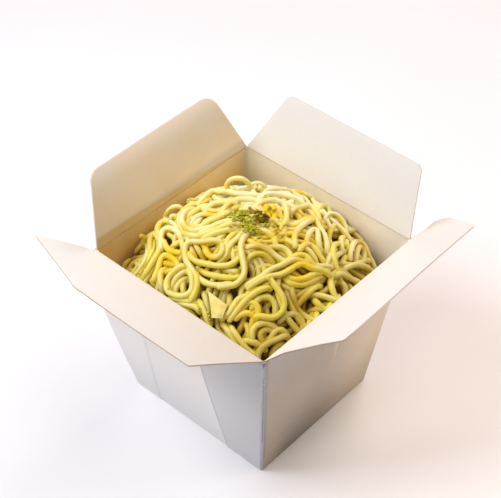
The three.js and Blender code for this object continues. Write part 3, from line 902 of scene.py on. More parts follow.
def curve_through(points, step):
    """Catmull-Rom curve through the points, laid out again at even steps along its length."""
    points = np.asarray(points, float)
    ends = np.concatenate([[2 * points[0] - points[1]], points, [2 * points[-1] - points[-2]]])
    t = np.linspace(0, 1, 17)[:-1, None, None]
    a, b, c, d = ends[:-3], ends[1:-2], ends[2:-1], ends[3:]
    curve = 0.5 * (
        2 * b + (c - a) * t + (2 * a - 5 * b + 4 * c - d) * t**2 + (3 * b - a - 3 * c + d) * t**3
    )
    curve = np.concatenate([curve.transpose(1, 0, 2).reshape(-1, points.shape[1]), points[-1:]])
    return even_steps(curve, step)


def even_steps(curve, step):
    """The curve laid out again at even steps along its length, at least five points."""
    run = np.concatenate([[0.0], np.cumsum(np.linalg.norm(np.diff(curve, axis=0), axis=1))])
    along = np.linspace(0.0, run[-1], max(5, int(run[-1] / step) + 1))
    return np.stack([np.interp(along, run, curve[:, k]) for k in range(curve.shape[1])], 1)


def inside_walls(path, radius):
    """Keeps a noodle's centre line clear of the walls at the heap's height."""
    halves = half_widths(np.minimum(heap_height(path[:, 0], path[:, 1]), BOX_HEIGHT))
    kept = path.copy()
    for axis in (0, 1):
        limit = halves[axis] - NOODLE_CLEARANCE[axis] - radius
        kept[:, axis] = np.clip(path[:, axis], -limit, limit)
    return kept


def soften(values, rounds, floor=None):
    """Repeated three-point means, held above a floor."""
    for _ in range(rounds):
        padded = np.concatenate([values[:1], values, values[-1:]])
        values = (padded[:-2] + 2 * padded[1:-1] + padded[2:]) / 4
        if floor is not None:
            values = np.maximum(values, floor)
    return values


def noodle_mesh(path, radius, sides, shade, values):
    """A noodle: a ring of radius r about each path point, square to the path, with rounded tips.

    Rings are turned alike by the direction in which the noodle's run changes least. The value
    "face" is 1 where the noodle faces out of the heap and -1 where it faces in.
    """
    tangent = np.gradient(path, axis=0)
    tangent /= np.linalg.norm(tangent, axis=1, keepdims=True) + 1e-9
    still = np.linalg.eigh(tangent.T @ tangent)[1][:, 0]
    tip = np.array([1.0, 0.75, 0.3])[:, None] * radius
    path = np.concatenate([path[0] - tip * tangent[0], path, path[-1] + tip[::-1] * tangent[-1]])
    tangent = np.concatenate([np.repeat(tangent[:1], 3, 0), tangent, np.repeat(tangent[-1:], 3, 0)])
    size = np.sqrt(np.clip(1 - (tip[:, 0] / radius) ** 2, 0.02, 1))
    size = np.concatenate([size, np.ones(len(path) - 6), size[::-1]]) * radius
    run = np.arange(len(path))
    size *= 1 + 0.05 * np.sin(0.55 * run + 40 * shade) + 0.035 * np.sin(1.3 * run + 90 * shade)
    side = np.cross(tangent, still)
    side /= np.linalg.norm(side, axis=1, keepdims=True) + 1e-9
    over = np.cross(side, tangent)
    angle = np.linspace(0, 2 * math.pi, sides, endpoint=False)
    out = np.cos(angle)[:, None] * side[:, None] + np.sin(angle)[:, None] * over[:, None]
    rings = path[:, None] + size[:, None, None] * out
    heap_out = path - np.array([HEAP_CENTRE[0], HEAP_CENTRE[1], 20.0])
    heap_out /= np.linalg.norm(heap_out, axis=1, keepdims=True)
    face = np.einsum("ijk,ik->ij", out, heap_out)
    rows = len(path)
    index = np.arange(rows * sides).reshape(rows, sides)
    points = np.concatenate([rings.reshape(-1, 3), path[:1], path[-1:]])
    faces = np.concatenate([
        grid_faces(index, around=True),
        fan_faces(index[0][::-1], rows * sides), fan_faces(index[-1], rows * sides + 1),
    ])
    repeated = {
        key: np.append(np.repeat(np.pad(v, 3, mode="edge"), sides), [v[0], v[-1]])
        for key, v in values.items()
    }
    repeated["tint"] = np.full(len(points), shade)
    repeated["face"] = np.append(face.ravel(), [0.3, 0.3])
    return points, faces, repeated


# Noodles on top, deepest layer first: how many layers down, which ends stay loose, and the centre
# line's plan points (x, y), with a third number where the noodle stands clear of the heap.
TOP_NOODLES = [
    (3, "", [(-47, -29.1, 4.6), (-47, -26.5, 3.7), (-46.3, -24), (-39, -28)]),
    (3, "", [(13, -21.1), (12.7, -18.3), (13.5, -15.3), (15.5, -13), (18.4, -11.6),
        (21.5, -10.6)]),
    (3, "", [(26.8, -14.6), (29.4, -15), (32.1, -14.1), (34.4, -12.1), (35.6, -8.8), (36.3, -5),
        (37.1, 0.3)]),
    (3, "", [(35.3, -18.4), (36, -14), (36.6, -9.3), (36.8, -4.9), (36.7, 1.4)]),
    (2, "", [(-47, -37.7, 6.6), (-47, -33.9, 2.7), (-43.8, -32.4), (-38.1, -33.3), (-33, -33.3)]),
    (2, "", [(-40.5, -39), (-41, -36.5), (-37.8, -35.7), (-32.8, -36), (-27.9, -36.5)]),
    (2, "", [(5.4, -27.5), (8.8, -26.7), (11.5, -25.3), (12.5, -22.5)]),
    (2, "", [(9.7, -17.5), (9.6, -14.9), (10.7, -12.2), (13.2, -10.4), (16.9, -9.4),
        (20.7, -9.1)]),
    (2, "", [(26.1, -13.2), (28.3, -12.5), (30.8, -12.7), (33.2, -11.4), (34.9, -8.8),
        (35.9, -5.3), (36.4, -1.1), (36.5, 4.3)]),
    (2, "", [(38.5, -17.5), (38.6, -13.6), (38.7, -9.8), (38.6, -5.7), (38.6, -0.9)]),
    (2, "", [(36.9, -26.6), (38, -23.4), (39.5, -20.5), (41.9, -18.6), (44.1, -18.8),
        (45.5, -20.7), (45.7, -23.5)]),
    (2, "", [(36.9, -36.1), (34.9, -35.7), (34.6, -33.9), (35.9, -31.9), (38, -30.7),
        (39.6, -31.5)]),
    (2, "", [(38.6, -34.9), (37.2, -34.7), (37.3, -33.1), (38.7, -32.1)]),
    (2, "", [(26.7, -36.3), (29, -37.2), (30.8, -38.5), (32.7, -39.7)]),
    (2, "", [(20.4, -40.7), (22.8, -41.8), (24.6, -43.2), (27, -43.6)]),
    (2, "", [(4.4, -38.5), (7.5, -40.3), (10.3, -42.1), (12.8, -43.8), (15.2, -45.4)]),
    (2, "", [(-2.6, -47.5, -2.1), (1.5, -47.5), (5.2, -46.9), (8.6, -46.9)]),
    (2, "", [(23.9, 3.2), (26, 4.9), (28.5, 5), (31.1, 4.3)]),
    (2, "", [(11.9, -4.3), (13.2, -1.1), (15.6, 0.7), (19, 0.8), (22.4, 1.6)]),
    (2, "", [(41.7, 12.9), (43.5, 13.6), (45.5, 13), (47, 10.3)]),
    (2, "", [(40.5, 8.7), (42.3, 10), (44.5, 9.6), (46.4, 7.3)]),
    (2, "", [(40.8, 17.7), (43.8, 17.8), (46.4, 16.1)]),
    (1, "last", [(-35.4, -17.6), (-35.2, -17.4, 4), (-34.5, -16.8, 6.1), (-33.5, -15.9, 3.8),
        (-33, -15.5, 0.4), (-26.9, -19.2)]),
    (1, "", [(-33.5, -15), (-29.5, -18.9), (-24.4, -21.9), (-19.9, -22.7), (-15.2, -21.9),
        (-11.2, -19.8), (-8.1, -16.6)]),
    (1, "", [(-28.1, -14.7), (-28.9, -11.9), (-28.5, -8.4), (-27.2, -5.2), (-24.2, -3.1),
        (-20.6, -0.4)]),
    (1, "", [(-22.2, -18.3), (-23.3, -15.5), (-23.4, -12.6), (-21.6, -9.9), (-17.8, -8.1),
        (-15, -5.2)]),
    (1, "", [(-19.4, -20.1), (-17.8, -17.2), (-16.3, -14.3), (-14, -11.5), (-11.5, -9)]),
    (1, "", [(-37.2, -26.3), (-33, -30.2), (-30.8, -34.1), (-30.2, -37.6), (-30.1, -40.9),
        (-29.4, -44)]),
    (1, "", [(-26, -31.9), (-25.4, -35.7), (-24.5, -39.5), (-24.1, -43.1), (-24.1, -46.2)]),
    (1, "", [(-1.6, -6.3), (-3.9, -9.6), (-5.1, -13.5), (-4.6, -17.2), (-5.6, -20),
        (-8.6, -22.5)]),
    (1, "", [(0.9, -9.1), (1.9, -13.5), (1.9, -17.3), (2.5, -20.6), (3.7, -23.7), (2.8, -26.5)]),
    (1, "", [(-1.2, -8), (-1.4, -12.4), (-1.1, -16.3), (0.3, -19.3), (1.9, -23.1)]),
    (1, "", [(-2.7, -32.7), (1, -33.5), (4.7, -33.1), (8.4, -31.5), (11.7, -29.4), (13.6, -27),
        (14.1, -24.4)]),
    (1, "", [(12.1, -20.9), (12, -18.2), (12.7, -15.5), (14.4, -13.1), (17, -11.6), (20.5, -11)]),
    (1, "", [(11, 0.3), (13.4, -2.3), (15.8, -4.6), (18.8, -5.4), (21.8, -5.1), (24.3, -4.1)]),
    (1, "", [(27, -11.1), (29.7, -10.8), (32.3, -9.3), (34.3, -6.2), (35.1, -2.4), (35.9, 1.4),
        (36.5, 6.9)]),
    (1, "", [(14.7, -33.3), (16.7, -35.1), (18.1, -37.3), (18, -40.1)]),
    (1, "", [(17.8, -26), (17.9, -28.3), (19, -30.5), (20.5, -32.1)]),
    (1, "", [(22.7, -30.7), (21.7, -28.6), (22.4, -26.5), (24.4, -24.3), (25.3, -21.5),
        (25.7, -18)]),
    (1, "", [(26.5, -31.7), (26.3, -29), (26.8, -26.4), (28.3, -24.2), (30.6, -23.2),
        (32.8, -23.8), (34.4, -25.6)]),
    (1, "", [(23.8, -36.3), (23.9, -33.3), (25.2, -30.9), (27.5, -30.3), (29.6, -31.1),
        (30.6, -33)]),
    (1, "", [(23.6, -38.6), (25.2, -36), (27.4, -33.9), (30.1, -33.2)]),
    (1, "", [(33.4, -39.2), (32, -37.6), (31.9, -35.5), (33, -33.1), (35, -31), (37.2, -29.6),
        (39.5, -28.9)]),
    (1, "", [(38.8, -35.1), (38.9, -32.7), (39, -30.3), (40.1, -28.3), (41.9, -27.2),
        (43.9, -27.4), (45.1, -28.3)]),
    (1, "", [(42.5, -29.7), (41.9, -32.8), (41.8, -35.2), (42.4, -36.8)]),
    (1, "", [(29, -43.2), (31.5, -41.6), (34.1, -40), (36.8, -38.5), (39.2, -37.4)]),
    (1, "", [(19.8, -42.6), (22.2, -43.6), (24.8, -44.3), (27.8, -44.7), (30.4, -44.7)]),
    (1, "", [(-6.7, -35.4), (-8.5, -37.3), (-9.7, -39.9), (-9.7, -42.5), (-8.4, -44.7)]),
    (1, "", [(-4.7, -37.2), (-6, -39), (-6.8, -41.3), (-6.7, -43.7), (-4.8, -45.4)]),
    (1, "", [(-5.6, -39.1), (-4.5, -41.3), (-2.8, -43.1), (-0.1, -44.3)]),
    (1, "", [(4.4, -42.2), (7.5, -43.4), (10.5, -44.7), (13.4, -46), (16, -47.3)]),
    (1, "", [(-5, -47.5, -1.7), (-0.8, -47.5, -1), (2.8, -46.9), (5.8, -45.7), (9.1, -45.4)]),
    (1, "", [(-8.1, -47.3), (-4.3, -47.5), (-0.2, -46.8), (3.2, -45.4), (5.9, -43.9)]),
    (1, "", [(-18.3, -39.8), (-17.5, -42.6), (-16, -45.1), (-14.7, -47.4)]),
    (1, "", [(-17.9, -37.6), (-18.3, -39.8), (-17.2, -42.6), (-14.5, -44.8), (-11.4, -46.7)]),
    (1, "", [(-26, 24), (-21.2, 20.9, 4.3), (-19.3, 22.5, 5.6), (-17.3, 24.3, 4.8),
        (-15.7, 25.7, 2.7), (-13.8, 25.1)]),
    (1, "", [(-5.9, 43.1), (-2.7, 44.5, 0.9), (2.9, 41.1), (9.8, 36.1), (15.5, 31.9),
        (20.6, 28.5)]),
    (1, "", [(2.1, 10.9), (3.1, 14.6), (4.7, 17.6), (7.2, 19.5), (10.7, 18.9)]),
    (1, "", [(6.9, 8.7), (10.7, 8.4), (13, 10.5), (13.7, 14.5), (13.6, 19.6), (12.7, 24.3)]),
    (1, "", [(22.3, 8.4), (20.2, 13.1), (19.6, 16.9), (21.7, 17), (24.8, 13.9), (27.8, 11.6)]),
    (1, "", [(15.5, 1.4), (18.7, 1.1), (21.6, 1.8), (23.7, 4), (26.1, 5.4), (29.1, 5.3),
        (32, 4.5)]),
    (1, "", [(4.4, 2.2), (5.3, 5.2), (8, 6.1), (11.2, 5.7), (14.6, 3.2)]),
    (1, "", [(37, 26), (33.9, 31.1), (30.7, 37.3), (31.6, 39.3), (35.3, 35.3), (37.9, 30.4)]),
    (1, "", [(35.5, 16.6), (37.4, 19.5), (38.3, 23.5), (38, 29.3), (36.2, 37.5)]),
    (1, "", [(38.5, 14.4), (39.1, 18.8), (39.4, 24.5), (40.1, 29.9), (40, 35.7)]),
    (1, "", [(39.2, 7.9), (40.2, 11.7), (42, 14.6), (43.7, 17), (45.5, 19.2)]),
    (0, "", [(-23.3, -23), (-33.9, -18.4), (-43.4, -12.6, -0.8), (-43.3, -11.9, 2.5),
        (-42.3, -11.2, 3.8), (-41, -10, 4.2), (-39.5, -8.7, 3.4), (-38, -7.4, 1.2),
        (-36.6, -6.3, -2.5)]),
    (0, "", [(-22, -22.4), (-26.8, -20.2), (-31.1, -16.1), (-34.4, -11.1), (-35.9, -6.6),
        (-34.8, -3.8), (-31.8, -2.3), (-30.5, 0.3), (-31.5, 4.7)]),
    (0, "", [(-29.3, -6.9), (-31.2, -9.5), (-30.7, -13.3), (-28.2, -17.2), (-24, -20.3),
        (-19.4, -21.3), (-16.5, -19.8), (-14.5, -16.8), (-12.6, -13.1)]),
    (0, "first", [(-40.3, -30.9, 8.1), (-39.2, -29.9, 4.7), (-39.4, -28.3), (-35.1, -32.3),
        (-32.3, -35.7), (-30.9, -38.7), (-31, -41.9), (-32.1, -44.5)]),
    (0, "", [(-32.4, -33.4), (-36.3, -29.7), (-38.4, -26.7), (-37.5, -25.3), (-33.6, -26.9),
        (-29.9, -30), (-27.1, -33.3), (-25.9, -36.4), (-25.3, -40.3), (-25.3, -43.5),
        (-26, -46.1)]),
    (0, "", [(-19.1, -44.7), (-20.6, -40.6), (-22.7, -36.5), (-22, -34.2), (-18.5, -34.4),
        (-14.9, -35.3), (-11.5, -36.6)]),
    (0, "", [(-35.7, -16), (-39.1, -17.1), (-40.3, -19.2), (-38.5, -22.5), (-33.9, -26.3)]),
    (0, "", [(-20.8, -25), (-26.7, -23.2), (-32, -22.4), (-33.2, -24.7), (-30.5, -28.5),
        (-26.5, -32.2)]),
    (0, "", [(-29.7, -27.9), (-25.2, -30.7), (-20.7, -32.1), (-16.8, -31.7), (-14.7, -30)]),
    (0, "", [(-2.4, -19), (-6.4, -21.7), (-10.8, -24), (-14.4, -25.6), (-15.3, -27.9),
        (-13.9, -30.5), (-11, -33.1), (-6.9, -35.1), (-2.8, -36.4), (1.5, -37.2), (5.9, -36.9),
        (9.6, -35.3), (12.5, -32.7), (14.1, -30.1)]),
    (0, "", [(-12.2, -29.5), (-9.2, -31.4), (-5.6, -32.1), (-1.3, -31.1), (3.6, -29.4),
        (7.6, -26.8), (9.1, -24), (8.9, -20.3), (7.8, -16.8)]),
    (0, "", [(-7.2, -24.6), (-4.5, -26.6), (-1.6, -27.5), (1, -26.9), (2.3, -25.2),
        (1.3, -22.7), (-1.2, -20.1)]),
    (0, "", [(8.1, -15.1), (10.4, -12.6), (13.3, -10.6), (16.6, -9.8), (19.7, -9.4),
        (22.6, -8.8), (25.3, -7.2), (27.6, -4)]),
    (0, "", [(14.9, -8.5), (17.3, -6.7), (19.4, -4.4), (22.1, -3.6), (24.8, -4.4), (26.9, -5.1)]),
    (0, "", [(19, -27.3), (20.8, -24.2), (22, -21.1), (22.5, -17.4), (23.3, -14.1), (24.8, -11),
        (26.1, -7.5), (27.5, -3.8), (29.7, -1), (32.5, 1.1), (34.5, 4.3), (36.3, 9.1)]),
    (0, "", [(21.1, -27.7), (22.8, -24.5), (24.1, -20.8), (25.3, -17.1), (27.1, -13.9),
        (28, -10.4), (28.9, -6.7), (30.6, -3.4), (33.4, -1.3), (36, 1.9), (38.9, 5.3)]),
    (0, "first", [(26.2, -19.3), (28.6, -19.7), (31.2, -19.8), (33.9, -20.4), (35.8, -21.7),
        (36.9, -23.9), (36.6, -26.5), (35.1, -29.2), (32.6, -31.5), (29.7, -33.4)]),
    (0, "", [(22, -40.7), (22.8, -37.8), (23.3, -34.5), (23.8, -30.9), (24.8, -27.4),
        (26.2, -24.5), (27.4, -21.3)]),
    (0, "", [(18.9, -42.3), (20.8, -40), (20.7, -37.3), (20.5, -34.6), (21.3, -32.3),
        (22.7, -30.1)]),
    (0, "", [(42.9, -27.6), (42.2, -30.3), (41.1, -33.3), (39.8, -36.2), (38.6, -38.8),
        (38.3, -40.8), (39.2, -42.1)]),
    (0, "", [(23.9, -41.8), (25.7, -42.8), (28.2, -43.3), (30.5, -43.6), (33.1, -43.4),
        (35.9, -42.6), (38.5, -41.7)]),
    (0, "", [(-8.9, -35), (-10.7, -37.2), (-12, -39.7), (-12.5, -42.3), (-11.3, -44.8),
        (-8.8, -46.6), (-5, -47.3), (-1.4, -46.8), (1, -44.9), (1.2, -42.6), (-0.1, -40.2),
        (-2.6, -38.2), (-6.2, -36.5)]),
    (0, "", [(-3.1, -36.1), (0.3, -37.9), (2.6, -40.3), (3.6, -42.9), (3.7, -45.2)]),
    (0, "", [(-11, 12.3), (-16.4, 17.1), (-17.7, 16.9, 3.8), (-19.3, 15.5, 6.9),
        (-21.5, 13.6, 8.6), (-23.9, 11.5, 8.6), (-25.6, 10.1, 6.7), (-25.9, 9.9, 3.8),
        (-24.4, 11.1, 1.4), (-22, 13.2, 0.8), (-19.6, 15.2, 2.1), (-17.6, 17, 3.3)]),
    (0, "", [(-13.3, 13), (-16.1, 17.4, 1.5), (-15.2, 18.1, 4.5), (-13.7, 19.4, 3.2),
        (-13.2, 21)]),
    (0, "", [(-31.4, -2.7), (-32, 1.9), (-33.2, 6.9), (-31.3, 9.3), (-26.5, 9.4), (-21.7, 9.5),
        (-17.4, 10.7), (-13, 12.6), (-10.3, 16.3)]),
    (0, "", [(-11.9, 18.2), (-13.4, 24.2), (-13.3, 29), (-11.9, 33.9), (-11.5, 40.1, 1.1),
        (-8.1, 41.8, 2.5), (-5.5, 43, 2.4), (-3.2, 44.2, 0.8), (4.6, 37.3)]),
    (0, "", [(-23.4, -6.6), (-22.7, -2.8), (-20.7, 0.3), (-17.5, 2.8), (-14.4, 6), (-9.9, 9.1),
        (-5.6, 10.9)]),
    (0, "", [(-13.9, 4.1), (-15.9, 1.7), (-16, -1.8), (-14.9, -5.7), (-15.4, -10),
        (-17.6, -13.5)]),
    (0, "", [(-10.8, 2), (-11.4, -1.9), (-11.8, -6.1), (-13, -10), (-15.1, -13.6),
        (-16.7, -17.7)]),
    (0, "", [(-3.1, -5.2), (-6.4, -6.8), (-8.9, -9.3), (-10.9, -13), (-12.2, -16.8),
        (-14.5, -20)]),
    (0, "", [(-1.3, -6.7), (-4.1, -8.8), (-6.7, -11.7), (-8.7, -15.4), (-10.7, -19),
        (-13.7, -21.6)]),
    (0, "", [(-1.3, -9.9), (-3.4, -12.8), (-5.7, -16), (-8.1, -19.3), (-10.6, -22.3)]),
    (0, "", [(-9.4, 12.5), (-9, 18.2), (-7, 22.9), (-3.9, 26.4), (-0.1, 29), (4.5, 29.9)]),
    (0, "", [(-6, 6.6), (-5, 11.6), (-2.9, 16), (0.7, 18.8), (4.7, 20.3), (8.8, 21)]),
    (0, "", [(6.1, 16.5), (6.5, 21.6), (6.6, 27.4), (9.1, 29.3), (13.4, 27.3), (17.7, 23.8)]),
    (0, "", [(8.4, 33.1), (5.7, 40.4), (6.6, 43.2), (12.4, 38.8), (16.9, 36.8)]),
    (0, "", [(15.2, 29.9), (13.8, 33.5, 1), (14, 37, 2.8), (16.8, 39.5, 3.4), (20.5, 39.2, 2),
        (23.5, 36.5)]),
    (0, "", [(0.7, 18.8), (4.7, 15.4), (8.1, 11.6), (10.7, 7.6), (11.8, 3.6)]),
    (0, "", [(21.9, 1.4), (18.8, 4.6), (16.9, 8.9), (16.1, 13.3), (15.8, 17.5), (15.1, 21.9)]),
    (0, "", [(14.5, 25.2), (17.8, 21.8), (21, 20.5), (24.3, 19), (27.3, 16.8), (30.1, 14)]),
    (0, "", [(24.1, 2.1), (24.1, 5.6), (24.8, 8.1), (27.2, 8.7), (30.1, 8.4), (33, 8.1)]),
    (0, "", [(24.8, -8.7), (25.8, -5.1), (26.6, -1.4), (28.1, 0.9), (30.6, 1), (33, 1.2)]),
    (0, "", [(35.3, 24.1), (32.3, 29), (29.3, 35.7), (28.4, 40.9), (30.4, 42), (33.8, 40.5),
        (36.5, 40.2), (39.1, 39.3)]),
    (0, "last", [(13.7, -2.6), (10.1, -3.1), (7, -4.9), (4.4, -7.8), (4.1, -11.1), (5.1, -14.6),
        (7.3, -17.8), (10.3, -20.3), (13.5, -22.5), (15.7, -24.9), (16.4, -27.8), (15.9, -31.1),
        (14.2, -34), (12.2, -36.2)]),
]

# Hollows between the noodles, where one looks deep into the heap: x, y, radius.
HOLLOWS = [
    (17.7, -45.3, 3.2), (44.2, -29.6, 3.2), (33.8, -40.9, 2.2), (28.5, -40.1, 2.6),
    (44.0, 7.2, 2.6), (29.6, -26.9, 3.2), (38.0, 47.5, 2.0), (-13.5, -46.2, 1.6),
    (-6.8, -47.5, 1.6), (10.7, -47.2, 2.6), (-41.7, -29.1, 3.4), (-46.0, -30.6, 3.4),
    (17.8, -20.8, 3.2), (23.1, 23.9, 2.6), (12.1, -36.7, 2.6), (34.1, 28.3, 2.0),
    (39.5, -39.6, 2.2), (40.3, -13.7, 2.6), (-3.3, -39.7, 1.6), (-5.7, -43.5, 1.6),
    (-43.0, -2.0, 7.0), (-43.5, -9.0, 5.0), (-38.5, -4.5, 3.5), (44.0, 36.0, 9.0),
    (44.0, 46.0, 8.0),
]

# Golden sauce between the noodles: x, y, radius.
SAUCE_SPOTS = [
    (-21.6, -19.6, 3), (-20.3, -30.6, 4), (-17.1, -37.1, 5), (-7.6, -27.4, 5), (-2.1, -25.7, 4),
    (-26.7, 0.2, 3), (-21.2, 4.3, 3), (-12.9, 0.3, 4), (-19, -8.1, 4), (-0.7, 9.3, 5),
    (3.6, 8.5, 4), (12.2, 2.5, 5), (16.1, 2, 4), (11, 21.2, 5), (-9, 41.5, 2.5), (19.8, 25.6, 4),
    (20.8, 7.3, 4), (31.3, -2.9, 4), (29.7, 39.2, 4), (10.2, -7.1, 5), (27.5, -34.2, 5),
    (26.6, -38.8, 4), (31.4, -8.3, 4), (-32.6, -6.1, 4),
]

# Broad tones of the heap: x, y, radius, and an amount that is above 0 where the heap lies in golden
# shade and below 0 where it catches the light.
TONE_SPOTS = [
    (38.0, -14.0, 6.5, 0.85), (46.0, -25.0, 7.5, 0.8), (37.0, -36.0, 7.0, 0.7),
    (46.0, 12.0, 12.0, 0.4), (15.0, -11.0, 7.0, 0.6), (-42.0, -32.0, 10.0, 0.85),
    (42.0, 32.0, 12.0, 0.35), (-6.0, 24.0, 22.0, -0.6), (-22.0, -8.0, 20.0, -0.3),
    (26.0, -38.0, 8.0, -0.4),
]


def top_noodles(radius, step):
    """The listed noodles as even paths at their target height, with their free and loose parts."""
    laid = []
    for layer, loose, points in TOP_NOODLES:
        path = curve_through([(*p, 0.0)[:3] for p in points], step)
        lift = path[:, 2].copy()
        path = inside_walls(path, radius)
        path[:, 2] = heap_height(path[:, 0], path[:, 1]) - radius - LAYER_DEPTH * layer + lift
        laid.append((path, lift > 0.4, loose))
    return laid


def bundle_paths(rng, middle, step, width, length):
    """Noodles lying side by side: one arc with slow wander, copied sideways at even spacing."""
    heading = rng.uniform(0, 2 * math.pi)
    curve = rng.choice([-1, 1]) / rng.uniform(9.0, 30.0)
    run = np.arange(-length / 2, length / 2, step)
    turn = heading + curve * run + 0.35 * np.sin(run / 8.0 + rng.uniform(0, 6.3))
    centre = np.cumsum(np.stack([np.cos(turn), np.sin(turn)], 1) * step, 0)
    centre += np.asarray(middle) - centre[len(centre) // 2]
    normal = np.stack([-np.sin(turn), np.cos(turn)], 1)
    count = int(rng.integers(3, 7)) if length > 30.0 else int(rng.integers(1, 4))
    spacing = rng.uniform(0.95, 1.12) * width
    paths = []
    for k in range(count):
        wander = 0.6 * np.sin(run / rng.uniform(6.0, 12.0) + rng.uniform(0, 6.3))
        path = centre + normal * ((k - (count - 1) / 2) * spacing + wander)[:, None]
        first, last = rng.integers(0, 5), len(path) - rng.integers(0, 5)
        paths.append(path[first:last])
    return paths


def filling_limit(surface, tops, radius):
    """Greatest height of the noodles underneath: lower where listed ones lie, lowest in hollows."""
    covered = HeapSurface(depth=0.0)
    covered.height[:] = 0.0
    for path, _, _ in tops:
        covered.lay(np.column_stack([path[:, :2], np.zeros(len(path))]), radius + 1.0)
    behind = smooth_step(20.0, -20.0, FRONT_X * surface.x + FRONT_Y * surface.y)
    limit = heap_height(surface.x, surface.y) - 0.3 - (1.7 - 1.2 * behind) * (covered.height > 0.1)
    for x, y, size in HOLLOWS:
        near = ((surface.x - x) ** 2 + (surface.y - y) ** 2) / size**2
        limit -= 6.0 * np.exp(-near)
    return limit


def lay_filling(surface, limit, rng, radius, step):
    """Drops bundles where the heap is lowest, until the listed number of bundles has been tried."""
    spots = np.column_stack([surface.x.ravel(), surface.y.ravel()])
    pushed = np.abs(inside_walls(spots, radius) - spots).max(1)
    open_ground = (pushed < 0.01).reshape(surface.x.shape)
    strands = []
    bundles = settings().noodles.bundles
    for turn in range(bundles):
        length = rng.uniform(0.45, 1.0) * (76.0 - 46.0 * turn / bundles)
        gap = np.where(open_ground, limit - surface.height, -np.inf)
        picks = rng.integers(0, surface.size, (80, 2))
        best = tuple(picks[np.argmax(gap[picks[:, 0], picks[:, 1]])])
        for plan in bundle_paths(rng, (surface.x[best], surface.y[best]), step, 2 * radius, length):
            plan = inside_walls(plan, radius)
            this = radius * rng.uniform(0.92, 1.08)
            rest = surface.resting(plan, this)
            i, j = surface.numbers(plan).T
            ceiling = limit[i, j] - this
            over = rest > ceiling + 0.8
            if np.mean(over) > 0.45:
                continue
            z = soften(rest, 10, rest - 0.4)
            z = soften(np.minimum(z, ceiling + 0.5), 5)
            dive = np.exp(-np.arange(len(z)) / 2.5) * this * 1.6
            path = np.column_stack([plan, z - dive - dive[::-1]])
            surface.lay(path, this)
            strands.append((path, this))
    return strands


def lay_top(surface, tops, rng, radius):
    """Lays each listed noodle at its height, raised where others already lie beneath it."""
    strands = []
    for path, free, loose in tops:
        this = radius * rng.uniform(0.94, 1.06) * (0.8 if free.any() else 1.0)
        target = path[:, 2]
        rest = surface.resting(path, this) - 0.35 * this
        z = soften(np.clip(rest, target, target + 2.0), 8, target)
        z = np.where(free, target, z)
        z = soften(z, 2)
        dive = np.exp(-np.arange(len(z)) / 2.2) * this * 1.7
        z = z - dive * (loose != "first") - dive[::-1] * (loose != "last")
        path = np.column_stack([path[:, :2], z])
        surface.lay(path, this)
        strands.append((path, this))
    return strands


def near_spots(path, spots):
    """For each point, the sum over spots (x, y, radius, amount) of amount exp(-(d/radius)^2)."""
    x, y, radius, amount = np.asarray(spots, float).T
    distance = np.hypot(path[:, None, 0] - x, path[:, None, 1] - y)
    return (amount * np.exp(-((distance / radius) ** 2))).sum(1)


def noodle_values(path):
    """Depth below the heap's surface, sauce, nearness to the front and tone at each point."""
    depth = (heap_height(path[:, 0], path[:, 1]) - path[:, 2] - 2.5) / 6.0
    return {
        "depth": np.clip(depth, 0.0, 1.0),
        "sauce": np.clip(near_spots(path, [(*spot, 1.0) for spot in SAUCE_SPOTS]), 0.0, 1.0),
        "front": smooth_step(-30.0, 42.0, FRONT_X * path[:, 0] + FRONT_Y * path[:, 1]),
        "tone": near_spots(path, TONE_SPOTS),
    }


def core_mesh(depth):
    """The heap's inner part: a block whose top follows the heap, this far down."""
    count = 44
    u = np.linspace(-1, 1, count)
    grid_x, grid_y = np.meshgrid(u, u, indexing="ij")
    top_z = heap_height(grid_x * RIM_X / 2, grid_y * RIM_Y / 2) - depth

    def layer(z):
        x, y = (
            grid * (half - clearance)
            for grid, half, clearance in zip((grid_x, grid_y), half_widths(z), CORE_CLEARANCE)
        )
        return np.stack([x, y, z], -1).reshape(-1, 3)

    return np.concatenate([layer(top_z), layer(np.full_like(top_z, 6.0))]), slab_faces(count)


def noodle_group():
    """Colour changes shared by everything moist: slow patches and fine streaks."""
    if "moist_variation" in bpy.data.node_groups:
        return bpy.data.node_groups["moist_variation"]
    group, tree, given, out = new_group(
        "moist_variation",
        [("Patch size", "NodeSocketFloat", 90.0)],
        [("Patch", "NodeSocketFloat"), ("Fine", "NodeSocketFloat")],
    )
    place = tree.place()
    tree.plug(out, {
        "Patch": tree.ramp(tree.noise(place, given["Patch size"], 3.0, 0.55), 0.3, 0.7),
        "Fine": tree.noise(place, 900.0, 3.0, 0.6),
    })
    return group


